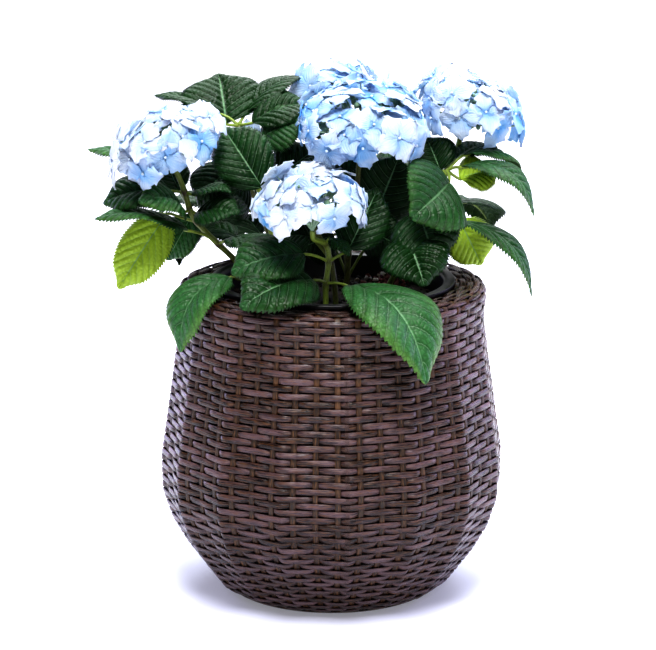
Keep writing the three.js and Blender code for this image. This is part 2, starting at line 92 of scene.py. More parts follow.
class Shade(Enum):
    """Painted light and shade of a leaf, from shaded in the middle of the plant to lit from behind: lit and
    shaded copies of one leaf finish.
    """

    DARK = 0.0
    PLAIN = 0.1
    LIGHT = 0.38
    FRESH = 0.48
    LIME = 1.0


# Meshes


def deselect_all() -> None:
    """Leaves nothing selected, so that the next operator acts on its own piece alone."""
    if bpy.context.object is not None and bpy.context.object.mode != "OBJECT":
        bpy.ops.object.mode_set(mode="OBJECT")
    bpy.ops.object.select_all(action="DESELECT")


def make_active(piece: bpy.types.Object) -> None:
    """Selects one piece alone and makes it the active one.

    Args:
        piece: The piece.
    """
    deselect_all()
    piece.select_set(True)
    bpy.context.view_layer.objects.active = piece


def place_object(name: str, data: bpy.types.ID) -> bpy.types.Object:
    """Makes an object and puts it into the scene.

    Args:
        name: Its name.
        data: Its mesh, light or camera.

    Returns:
        The new object.
    """
    made = bpy.data.objects.new(name, data)
    bpy.context.scene.collection.objects.link(made)
    return made


def set_tone(mesh: bpy.types.Mesh, tones: np.ndarray) -> None:
    """Gives a mesh the attribute that its material reads, one value a point."""
    mesh.attributes.new("tone", "FLOAT", "POINT").data.foreach_set("value", tones.astype(np.float32))


def take_template(piece: bpy.types.Object) -> tuple[np.ndarray, Faces]:
    """Reads a primitive's points and faces and removes it.

    Args:
        piece: The primitive that was just added.

    Returns:
        Its points, one row each, and its faces as lists of point numbers.
    """
    points = np.zeros(len(piece.data.vertices) * 3)
    piece.data.vertices.foreach_get("co", points)
    faces = [list(face.vertices) for face in piece.data.polygons]
    mesh = piece.data
    bpy.data.objects.remove(piece)
    bpy.data.meshes.remove(mesh)
    return points.reshape(-1, 3), faces


@cache
def grid_template(rows: int, columns: int) -> tuple[np.ndarray, Faces]:
    """A flat grid, with its first coordinate from 0 to 1 and its second from -1 to 1.

    Args:
        rows: Number of faces along.
        columns: Number of faces across.

    Returns:
        The grid's points and faces.
    """
    deselect_all()
    bpy.ops.mesh.primitive_grid_add(x_subdivisions=rows, y_subdivisions=columns, size=2)
    points, faces = take_template(bpy.context.object)
    points[:, 0] = (points[:, 0] + 1) / 2
    return points, faces


@cache
def ball_template() -> tuple[np.ndarray, Faces]:
    """A small round ball of a few dozen faces with a radius of one.

    Returns:
        The ball's points and faces.
    """
    deselect_all()
    bpy.ops.mesh.primitive_ico_sphere_add(subdivisions=2, radius=1)
    return take_template(bpy.context.object)


@dataclass
class Draft:
    """Points and faces of one piece, gathered until its mesh is made."""

    points: list[np.ndarray] = field(default_factory=list)
    faces: Faces = field(default_factory=list)
    uvs: list[np.ndarray] = field(default_factory=list)
    tones: list[np.ndarray] = field(default_factory=list)
    count: int = 0

    def add(self, points: np.ndarray, faces: Sequence[Sequence[int]], uv: np.ndarray,
            tone: float | np.ndarray) -> None:
        """Adds one shape.

        Args:
            points: Its points in metres, one row each.
            faces: Its faces as point numbers of its own.
            uv: Two pattern coordinates for each point.
            tone: The value of its colour attribute, one for all its points or one for each.
        """
        self.points.append(points)
        self.faces.extend([corner + self.count for corner in face] for face in faces)
        self.uvs.append(uv)
        self.tones.append(np.broadcast_to(tone, len(points)))
        self.count += len(points)

    def build(self, name: str, materials: Sequence[bpy.types.Material]) -> bpy.types.Object:
        """Makes the piece, smooth all over.

        Args:
            name: The piece's name.
            materials: Its materials, in slot order.

        Returns:
            The new object.
        """
        mesh = bpy.data.meshes.new(name)
        mesh.from_pydata(np.concatenate(self.points).tolist(), [], self.faces)
        corners = np.zeros(len(mesh.loops), dtype=np.int64)
        mesh.loops.foreach_get("vertex_index", corners)
        layer = mesh.uv_layers.new(name="along_across")
        layer.data.foreach_set("uv", np.concatenate(self.uvs)[corners].ravel())
        set_tone(mesh, np.concatenate(self.tones))
        mesh.polygons.foreach_set("use_smooth", [True] * len(mesh.polygons))
        for material in materials:
            mesh.materials.append(material)
        return place_object(name, mesh)


def merge_close(piece: bpy.types.Object, outward: bool = False) -> None:
    """Merges points that lie together, where a blade or a lathe closes.

    Args:
        piece: The piece to clean.
        outward: Whether its faces are then turned outwards.
    """
    make_active(piece)
    bpy.ops.object.mode_set(mode="EDIT")
    bpy.ops.mesh.select_all(action="SELECT")
    bpy.ops.mesh.remove_doubles(threshold=MERGE_REACH)
    if outward:
        bpy.ops.mesh.normals_make_consistent(inside=False)
    bpy.ops.object.mode_set(mode="OBJECT")


def thicken(piece: bpy.types.Object, thickness: float, back_slot: int) -> None:
    """Gives a sheet its two faces and its edge.

    Args:
        piece: The sheet.
        thickness: Its thickness in metres, half to each side.
        back_slot: How many material slots further on the finish of its far face is.
    """
    make_active(piece)
    solidify = piece.modifiers.new("thickness", "SOLIDIFY")
    solidify.thickness = thickness
    solidify.offset = 0
    solidify.material_offset = back_slot
    bpy.ops.object.modifier_apply(modifier=solidify.name)


def lathe(name: str, profile: Sequence[tuple[float, float]], steps: int, bevel: float) -> bpy.types.Object:
    """Turns a profile round the Z axis into a closed shape and softens its edges.

    Args:
        name: The piece's name.
        profile: Radius and height of each corner in millimetres, from axis to axis.
        steps: Number of faces round it.
        bevel: Width of its softened edges in metres, or 0 for none.

    Returns:
        The new object.
    """
    mesh = bpy.data.meshes.new(name)
    corners = [(radius * MM, 0.0, height * MM) for radius, height in profile]
    mesh.from_pydata(corners, [(step, step + 1) for step in range(len(corners) - 1)], [])
    piece = place_object(name, mesh)
    make_active(piece)
    bpy.ops.object.mode_set(mode="EDIT")
    bpy.ops.mesh.select_all(action="SELECT")
    bpy.ops.mesh.spin(steps=steps, angle=2 * math.pi, center=(0, 0, 0), axis=(0, 0, 1))
    bpy.ops.object.mode_set(mode="OBJECT")
    merge_close(piece, outward=True)
    if bevel > 0:
        softened = piece.modifiers.new("soft_edges", "BEVEL")
        softened.width = bevel
        softened.segments = BEVEL_SEGMENTS
        softened.angle_limit = BEVEL_ANGLE
        make_active(piece)
        bpy.ops.object.modifier_apply(modifier=softened.name)
    make_active(piece)
    bpy.ops.object.shade_smooth_by_angle(angle=SMOOTH_ANGLE)
    return piece


def unit(vector: np.ndarray | Point) -> np.ndarray:
    """The vector with a length of one."""
    return np.array(vector, float) / np.linalg.norm(vector)


def lengths(path: np.ndarray) -> np.ndarray:
    """The length passed at each point of a path."""
    return np.concatenate([[0], np.cumsum(np.linalg.norm(np.diff(path, axis=0), axis=1))])


def pushed_out(values: np.ndarray, power: float) -> np.ndarray:
    """Values between -1 and 1 moved away from 0 by a power below one, with their signs kept."""
    return np.sign(values) * np.abs(values) ** power


def turn_from_up(way: np.ndarray | Vector) -> Matrix:
    """The turn that takes the Z axis to a way."""
    return Vector(UP).rotation_difference(Vector(way)).to_matrix()


def ring_faces(rings: int, sides: int) -> Faces:
    """Faces between rings of points that follow one another.

    Args:
        rings: Number of rings.
        sides: Number of points in each.

    Returns:
        The faces, four point numbers each.
    """
    faces = []
    for ring in range(rings - 1):
        low, high = ring * sides, (ring + 1) * sides
        for step in range(sides):
            turn = (step + 1) % sides
            faces.append([low + step, low + turn, high + turn, high + step])
    return faces


def smooth_path(points: Sequence[Point], steps: int) -> np.ndarray:
    """A smooth curve through points, with the spacing of its knots by the root of their distance.

    Args:
        points: The points that the curve passes.
        steps: Number of pieces between two of them.

    Returns:
        The curve's points, one row each.
    """
    knots = np.array(points, float)
    knots = np.vstack([2 * knots[0] - knots[1], knots, 2 * knots[-1] - knots[-2]])
    curve = []
    for start in range(len(knots) - 3):
        corners = knots[start:start + 4]
        times = np.concatenate([[0], np.cumsum(np.linalg.norm(np.diff(corners, axis=0), axis=1) ** 0.5)])
        for share in np.linspace(0, 1, steps, endpoint=False):
            time = times[1] + share * (times[2] - times[1])
            rows = corners
            for level in range(1, 4):
                rows = np.array([
                    ((times[i + level] - time) * rows[i] + (time - times[i]) * rows[i + 1])
                    / (times[i + level] - times[i]) for i in range(len(rows) - 1)])
            curve.append(rows[0])
    curve.append(knots[-2])
    return np.array(curve)


def tube(path: np.ndarray, radii: np.ndarray, sides: int) -> tuple[np.ndarray, Faces, np.ndarray]:
    """A closed round tube along a path.

    Args:
        path: Its middle line, one row a point.
        radii: Its radius at each point.
        sides: Number of faces round it.

    Returns:
        Its points, its faces and its pattern coordinates: the length along it in metres, and the
        share of the way round.
    """
    ways = np.gradient(path, axis=0)
    ways /= np.linalg.norm(ways, axis=1)[:, None]
    side = np.cross(ways[0], OFF_AXIS)
    sections = []
    turns = np.arange(sides) * 2 * math.pi / sides
    for middle, way, radius in zip(path, ways, radii):
        side = side - way * np.dot(side, way)
        side /= np.linalg.norm(side)
        over = np.cross(way, side)
        sections.append(middle + radius * (np.outer(np.cos(turns), side) + np.outer(np.sin(turns), over)))
    count = len(path)
    points = np.vstack([*sections, path[:1], path[-1:]])
    faces = ring_faces(count, sides)
    for step in range(sides):
        turn = (step + 1) % sides
        faces.append([count * sides, turn, step])
        faces.append([count * sides + 1, (count - 1) * sides + step, (count - 1) * sides + turn])
    length = lengths(path)
    uv = np.array([[length[row], step / sides] for row in range(count) for step in range(sides)]
                  + [[length[0], 0], [length[-1], 0]])
    return points, faces, uv


def dress(piece: bpy.types.Object, slot: Slot, node: str = "") -> None:
    """Sets a finished piece on the frame and reports it.

    Args:
        piece: The finished piece.
        slot: The record's material slot of the piece; not used.
        node: The solid that it stands for, where there is one.
    """
    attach(piece, "root")
    if node:
        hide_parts(node)
    piece.data.calc_loop_triangles()
    LOG.info("%s: %d triangles", piece.name, len(piece.data.loop_triangles))


# Finishes


class Nodes:
    """Builds one node material step by step."""

    def __init__(self, name: str) -> None:
        """Starts an empty material.

        Args:
            name: The material's name.
        """
        self.material = bpy.data.materials.new(name)
        self.material.use_nodes = True
        self.tree = self.material.node_tree
        self.tree.nodes.clear()

    def node(self, kind: str, inputs: dict | None = None, **settings: object) -> bpy.types.Node:
        """Adds a node, with values or links for its inputs.

        Args:
            kind: The node's type.
            inputs: Socket names or numbers, with a value or another node's output each.
            settings: Properties of the node itself.

        Returns:
            The new node.
        """
        made = self.tree.nodes.new(kind)
        for key, value in settings.items():
            setattr(made, key, value)
        for key, value in (inputs or {}).items():
            if isinstance(value, bpy.types.NodeSocket):
                self.tree.links.new(value, made.inputs[key])
            else:
                made.inputs[key].default_value = value
        return made

    def math(self, operation: str, first: object, second: object = 0.0) -> bpy.types.NodeSocket:
        """The result of an operation on two values."""
        return self.node("ShaderNodeMath", {0: first, 1: second}, operation=operation).outputs[0]

    def plus(self, *values: object) -> bpy.types.NodeSocket:
        """The sum of some values."""
        return reduce(partial(self.math, "ADD"), values)

    def times(self, *values: object) -> bpy.types.NodeSocket:
        """The product of some values."""
        return reduce(partial(self.math, "MULTIPLY"), values)

    def span(self, value: object, low: float, high: float, start: float = 0.0,
             end: float = 1.0) -> bpy.types.NodeSocket:
        """A value moved from the span low to high into the span start to end, and held there."""
        inputs = {"Value": value, "From Min": low, "From Max": high, "To Min": start, "To Max": end}
        return self.node("ShaderNodeMapRange", inputs, clamp=True).outputs[0]

    def mix(self, share: object, first: object, second: object) -> bpy.types.NodeSocket:
        """Two colours mixed by a share."""
        return self.node("ShaderNodeMix", {0: share, 6: first, 7: second}, data_type="RGBA").outputs[2]

    def noise(self, where: object, scale: float, detail: float = 2.0) -> bpy.types.NodeSocket:
        """Soft random values at a scale."""
        inputs = {"Vector": where, "Scale": scale, "Detail": detail}
        return self.node("ShaderNodeTexNoise", inputs).outputs["Fac"]

    def place(self) -> bpy.types.NodeSocket:
        """The place on the object, in metres."""
        return self.node("ShaderNodeTexCoord").outputs["Object"]

    def tone(self) -> bpy.types.NodeSocket:
        """The colour attribute that a piece's shapes carry."""
        return self.node("ShaderNodeAttribute", attribute_name="tone").outputs["Fac"]

    def along_across(self) -> tuple[bpy.types.NodeSocket, bpy.types.NodeSocket]:
        """The two pattern coordinates of a piece.

        Returns:
            The one along its shapes and the one across them.
        """
        uv = self.node("ShaderNodeUVMap", uv_map="along_across").outputs[0]
        parts = self.node("ShaderNodeSeparateXYZ", {0: uv})
        return parts.outputs[0], parts.outputs[1]

    def stretched(self, along: object, across: object, third: object = 0.0) -> bpy.types.NodeSocket:
        """Three values as one place, for a pattern of its own proportions."""
        return self.node("ShaderNodeCombineXYZ", {0: along, 1: across, 2: third}).outputs[0]

    def bump(self, height: object, distance: float, strength: float = 1.0) -> bpy.types.NodeSocket:
        """A fine relief from heights between 0 and 1, with its depth in metres."""
        inputs = {"Height": height, "Distance": distance, "Strength": strength}
        return self.node("ShaderNodeBump", inputs).outputs[0]

    def finish(self, inputs: dict) -> bpy.types.Material:
        """Closes the material with its surface.

        Args:
            inputs: Values or links of the surface's sockets.

        Returns:
            The finished material.
        """
        surface = self.node("ShaderNodeBsdfPrincipled", inputs)
        self.node("ShaderNodeOutputMaterial", {"Surface": surface.outputs[0]})
        return self.material


@dataclass(frozen=True)
class StrandFinish:
    """Resin strand: mottled brown and violet grey with streaks that run along it, and painted highlight and
    shade round its section.
    """

    name: str
    dark: Colour
    light: Colour
    warm: Colour
    roughness: float
    ridges: float = 75
    relief: float = 0.0005

    def material(self) -> bpy.types.Material:
        """Makes the finish.

        Returns:
            The material. A higher tone makes a strand lighter.
        """
        made = Nodes(self.name)
        along, across = made.along_across()
        tone = made.tone()
        patch = made.noise(made.stretched(made.times(along, 14), tone, across), 2.2, 3)
        streak = made.noise(made.stretched(made.times(along, 30), made.times(across, 9), tone), 3.2, 4)
        # Painted highlight and shade: the term on across makes each strand lighter towards its top edge and
        # darker towards its bottom edge; patch and tone are random tone.
        lightness_with_painted_shade = made.plus(made.span(patch, 0.38, 0.66, -0.25, 0.62), made.times(tone, 0.8),
                              made.span(across, 0.36, 0.68, -0.4, 0.35))
        colour = made.mix(lightness_with_painted_shade, self.dark, self.light)
        colour = made.mix(made.span(streak, 0.46, 0.66, 0, 0.75), colour, self.warm)
        colour = made.mix(made.span(streak, 0.5, 0.3, 0, 0.55), colour, self.dark)
        ridges = made.math("SINE", made.times(across, self.ridges))
        height = made.plus(made.times(ridges, 0.2), streak)
        return made.finish({
            "Base Color": colour, "Specular IOR Level": 0.5, "Normal": made.bump(height, self.relief, 0.8),
            "Roughness": made.span(streak, 0.3, 0.7, self.roughness - 0.08, self.roughness + 0.12)})


@dataclass(frozen=True)
class BladeFinish:
    """Leaf skin: pale curved veins over quilted green, with a fine net between them; painted light from its
    tone, and painted shade in the grooves beside the side veins and along the net.
    """

    name: str
    dark: Colour
    light: Colour
    backlit_green: Colour
    vein: Colour
    vein_share: float
    roughness: float
    relief: float
    net_scale: float = 185.0
    grain_scale: float = 900

    def material(self) -> bpy.types.Material:
        """Makes the finish.

        Returns:
            The material. With its tone, a blade's painted light goes from shaded dark over lit light to the
            backlit green.
        """
        made = Nodes(self.name)
        along, across = made.along_across()
        tone, place = made.tone(), made.place()
        wide = made.math("ABSOLUTE", across)
        belly = made.times(along, 4, made.math("SUBTRACT", 1, along))
        swept = made.times(made.math("POWER", belly, VEIN_BELLY), made.math("POWER", wide, VEIN_CURVE),
                           VEIN_SWEEP)
        phase = made.times(made.math("SUBTRACT", along, swept), VEIN_PAIRS * math.pi)
        between = made.math("ABSOLUTE", made.math("SINE", phase))
        midrib = made.span(wide, 0.01, 0.04, 1, 0)
        lateral = made.times(made.span(between, 0.0, 0.16, 1, 0), made.span(wide, 0.5, 1.0, 1, 0.2), 0.8)
        patch = made.noise(place, 28, 3)
        net = made.node("ShaderNodeTexVoronoi", {"Vector": place, "Scale": self.net_scale},
                        feature="DISTANCE_TO_EDGE").outputs[0]
        # Painted light and shade: the tone lights or shades a whole leaf and makes a lit leaf lighter
        # towards its tip, and the last span paints shade in the grooves beside the side veins; the patch is
        # random tone.
        share = made.plus(
            made.span(patch, 0.3, 0.7, -0.15, 0.2), made.times(tone, 1.2),
            made.times(made.span(along, 0.1, 0.95, 0, 0.35), made.span(tone, 0, 0.4)),
            made.span(between, 0.05, 0.7, -0.42, 0.14))
        green = made.mix(share, self.dark, self.light)
        # Painted light: on leaves with a high tone, the edges and the tip turn towards the backlit green.
        margin = made.times(made.span(wide, 0.6, 1.0, 0, 0.3), made.span(along, 0.3, 0.95, 0.1, 1),
                            made.span(tone, 0.1, 0.6))
        green = made.mix(margin, green, self.backlit_green)
        # Painted light through the leaf: a high tone turns the whole blade backlit green.
        green = made.mix(made.span(tone, 0.55, 1.0), green, self.backlit_green)
        # Painted shade in the grooves of the fine net.
        net_groove_shade = made.times(made.span(net, 0.0, 0.2, 0.42, 0), made.span(tone, 0.4, 1, 1, 0.3))
        green = made.mix(net_groove_shade, green, self.dark)
        lines = made.times(made.math("MAXIMUM", midrib, lateral), self.vein_share)
        height = made.plus(made.times(between, 0.55), made.span(net, 0, 0.4, 0, 0.45),
                           made.times(made.noise(place, self.grain_scale, 2), 0.1))
        return made.finish({
            "Base Color": made.mix(lines, green, self.vein), "Specular IOR Level": 0.28,
            "Roughness": made.span(patch, 0.3, 0.7, self.roughness - 0.06, self.roughness + 0.08),
            "Normal": made.bump(height, self.relief, 0.9)})


@dataclass(frozen=True)
class StalkFinish:
    """Green stem skin with faint lengthwise lines, browner and darker where its tone is low; a low tone is
    partly age and partly painted shade.
    """

    name: str
    youth_and_light: Colour
    old_and_shaded: Colour
    roughness: float
    relief: float = 0.0003

    def material(self) -> bpy.types.Material:
        """Makes the finish.

        Returns:
            The material.
        """
        made = Nodes(self.name)
        along, across = made.along_across()
        tone = made.tone()
        line = made.noise(made.stretched(made.times(along, 60), made.times(across, 7), tone), 3, 3)
        speck = made.noise(made.place(), 700, 1)
        youth_and_light_share = made.plus(tone, made.span(line, 0.35, 0.7, -0.15, 0.15))
        colour = made.mix(youth_and_light_share, self.old_and_shaded, self.youth_and_light)
        colour = made.mix(made.span(speck, 0.62, 0.7, 0, 0.5), colour, self.old_and_shaded)
        return made.finish({"Base Color": colour, "Roughness": self.roughness,
                            "Normal": made.bump(line, self.relief, 0.6)})


@dataclass(frozen=True)
class PetalFinish:
    """Sepal skin: near white towards its tip and sky blue in its heart, with more blue in the lower and
    deeper florets as painted shade.
    """

    name: str
    white: Colour
    lilac: Colour
    blue: Colour
    roughness: float
    veins: float = 26
    relief: float = 0.00025

    def material(self) -> bpy.types.Material:
        """Makes the finish.

        Returns:
            The material. A higher tone makes a sepal bluer.
        """
        made = Nodes(self.name)
        along, across = made.along_across()
        tone, place = made.tone(), made.place()
        patch = made.noise(place, 45, 2)
        base = made.mix(made.span(patch, 0.35, 0.65), self.white, self.lilac)
        heart = made.times(made.span(along, 0.0, 0.55, 0.5, 0.0), made.plus(tone, 0.35))
        share = made.plus(tone, heart, made.span(patch, 0.45, 0.75, -0.1, 0.25))
        colour = made.mix(made.span(share, 0, 1), base, self.blue)
        fan = made.math("SINE", made.times(across, self.veins))
        vein = made.times(made.span(fan, 0.6, 1.0), made.span(along, 0.1, 0.9, 0.14, 0.03))
        height = made.plus(fan, made.noise(place, 260, 2))
        return made.finish({
            "Base Color": made.mix(vein, colour, self.blue), "Roughness": self.roughness,
            "Specular IOR Level": 0.3, "Subsurface Weight": 0.5, "Subsurface Radius": (0.8, 0.9, 1.0),
            "Subsurface Scale": 0.003, "Normal": made.bump(height, self.relief, 0.6)})


@dataclass(frozen=True)
class MouldedFinish:
    """Moulded plastic or coated metal with a fine grain and a few worn, dusty places."""

    name: str
    base: Colour
    dust: Colour
    roughness: float
    metallic: float = 0.0
    grain: float = 0.0001

    def material(self) -> bpy.types.Material:
        """Makes the finish.

        Returns:
            The material.
        """
        made = Nodes(self.name)
        place = made.place()
        patch = made.noise(place, 16, 4)
        return made.finish({
            "Base Color": made.mix(made.span(patch, 0.5, 0.8, 0, 0.5), self.base, self.dust),
            "Roughness": made.span(patch, 0.3, 0.7, self.roughness - 0.05, self.roughness + 0.15),
            "Metallic": self.metallic, "Normal": made.bump(made.noise(place, 900, 2), self.grain, 0.6)})


@dataclass(frozen=True)
class CompostFinish:
    """Moist compost, from near black to brown, and paler where its tone is high."""

    name: str
    wet: Colour
    dry: Colour
    pale: Colour
    roughness: float = 0.88
    relief: float = 0.0015

    def material(self) -> bpy.types.Material:
        """Makes the finish.

        Returns:
            The material.
        """
        made = Nodes(self.name)
        place = made.place()
        patch, fibre = made.noise(place, 60, 5), made.noise(place, 420, 4)
        colour = made.mix(made.span(patch, 0.35, 0.65), self.wet, self.dry)
        colour = made.mix(made.span(fibre, 0.6, 0.72, 0, 0.6), colour, self.dry)
        colour = made.mix(made.span(made.tone(), 0.5, 1.0), colour, self.pale)
        return made.finish({"Base Color": colour, "Roughness": self.roughness,
                            "Normal": made.bump(made.plus(patch, fibre), self.relief)})


STRAND = StrandFinish("resin_strand", roughness=0.28, dark=(0.006, 0.003, 0.003, 1),
                      light=(0.13, 0.083, 0.096, 1), warm=(0.14, 0.056, 0.018, 1))
# Near-black finish of the sheet behind the weave: painted shade where the gaps between the strands look into
# the planter.
SHADOW = StrandFinish("painted_weave_shade", roughness=0.7, dark=(0.004, 0.003, 0.003, 1),
                      light=(0.012, 0.008, 0.008, 1), warm=(0.01, 0.006, 0.005, 1))
STAKE = StrandFinish("resin_stake", roughness=0.42, dark=(0.02, 0.01, 0.005, 1),
                     light=(0.13, 0.065, 0.03, 1), warm=(0.17, 0.08, 0.03, 1))
# The green for a high tone is painted light through a leaf, and the tone mixes the dark and light colours as
# painted shade and light.
BLADE_TOP = BladeFinish("leaf_upper", roughness=0.41, relief=0.0013, vein_share=0.75,
                        dark=(0.002, 0.021, 0.0005, 1), light=(0.046, 0.158, 0.05, 1),
                        backlit_green=(0.36, 0.52, 0.05, 1), vein=(0.20, 0.36, 0.20, 1))
BLADE_UNDER = BladeFinish("leaf_under", roughness=0.5, relief=0.0016, vein_share=0.8,
                          dark=(0.022, 0.055, 0.02, 1), light=(0.055, 0.12, 0.03, 1),
                          backlit_green=(0.20, 0.40, 0.02, 1), vein=(0.20, 0.30, 0.10, 1))
# The green end of a stem's mix is the young, lit colour and the brown end the old, shaded one: painted shade
# for stems in the middle of the plant.
STALK = StalkFinish("stem_skin", youth_and_light=(0.30, 0.42, 0.07, 1), old_and_shaded=(0.07, 0.05, 0.02, 1), roughness=0.4)
THREAD = StalkFinish("floret_stalk", youth_and_light=(0.36, 0.50, 0.36, 1), old_and_shaded=(0.20, 0.32, 0.20, 1), roughness=0.5)
PETAL = PetalFinish("sepal", white=(0.68, 0.75, 0.84, 1), lilac=(0.60, 0.67, 0.86, 1),
                    blue=(0.11, 0.36, 0.78, 1), roughness=0.5)
BEAD = MouldedFinish("floret_eye", (0.62, 0.72, 0.85, 1), (0.45, 0.60, 0.30, 1), 0.5)
LINER = MouldedFinish("black_plastic", (0.010, 0.010, 0.012, 1), (0.045, 0.04, 0.035, 1), 0.32)
ROD = MouldedFinish("coated_rod", (0.02, 0.018, 0.018, 1), (0.06, 0.045, 0.035, 1), 0.45, metallic=0.6)
COMPOST = CompostFinish("compost", wet=(0.006, 0.004, 0.003, 1), dry=(0.035, 0.022, 0.015, 1),
                        pale=(0.22, 0.18, 0.14, 1))
BARK = CompostFinish("dry_bits", wet=(0.06, 0.010, 0.010, 1), dry=(0.12, 0.03, 0.025, 1),
                     pale=(0.62, 0.55, 0.52, 1))


@dataclass
class Palette:
    """Every material, made once and shared by the pieces."""

    strand: bpy.types.Material = field(default_factory=STRAND.material)
    stake: bpy.types.Material = field(default_factory=STAKE.material)
    shadow: bpy.types.Material = field(default_factory=SHADOW.material)
    blade_top: bpy.types.Material = field(default_factory=BLADE_TOP.material)
    blade_under: bpy.types.Material = field(default_factory=BLADE_UNDER.material)
    stalk: bpy.types.Material = field(default_factory=STALK.material)
    thread: bpy.types.Material = field(default_factory=THREAD.material)
    petal: bpy.types.Material = field(default_factory=PETAL.material)
    bead: bpy.types.Material = field(default_factory=BEAD.material)
    liner: bpy.types.Material = field(default_factory=LINER.material)
    rod: bpy.types.Material = field(default_factory=ROD.material)
    compost: bpy.types.Material = field(default_factory=COMPOST.material)
    bark: bpy.types.Material = field(default_factory=BARK.material)


# Planter


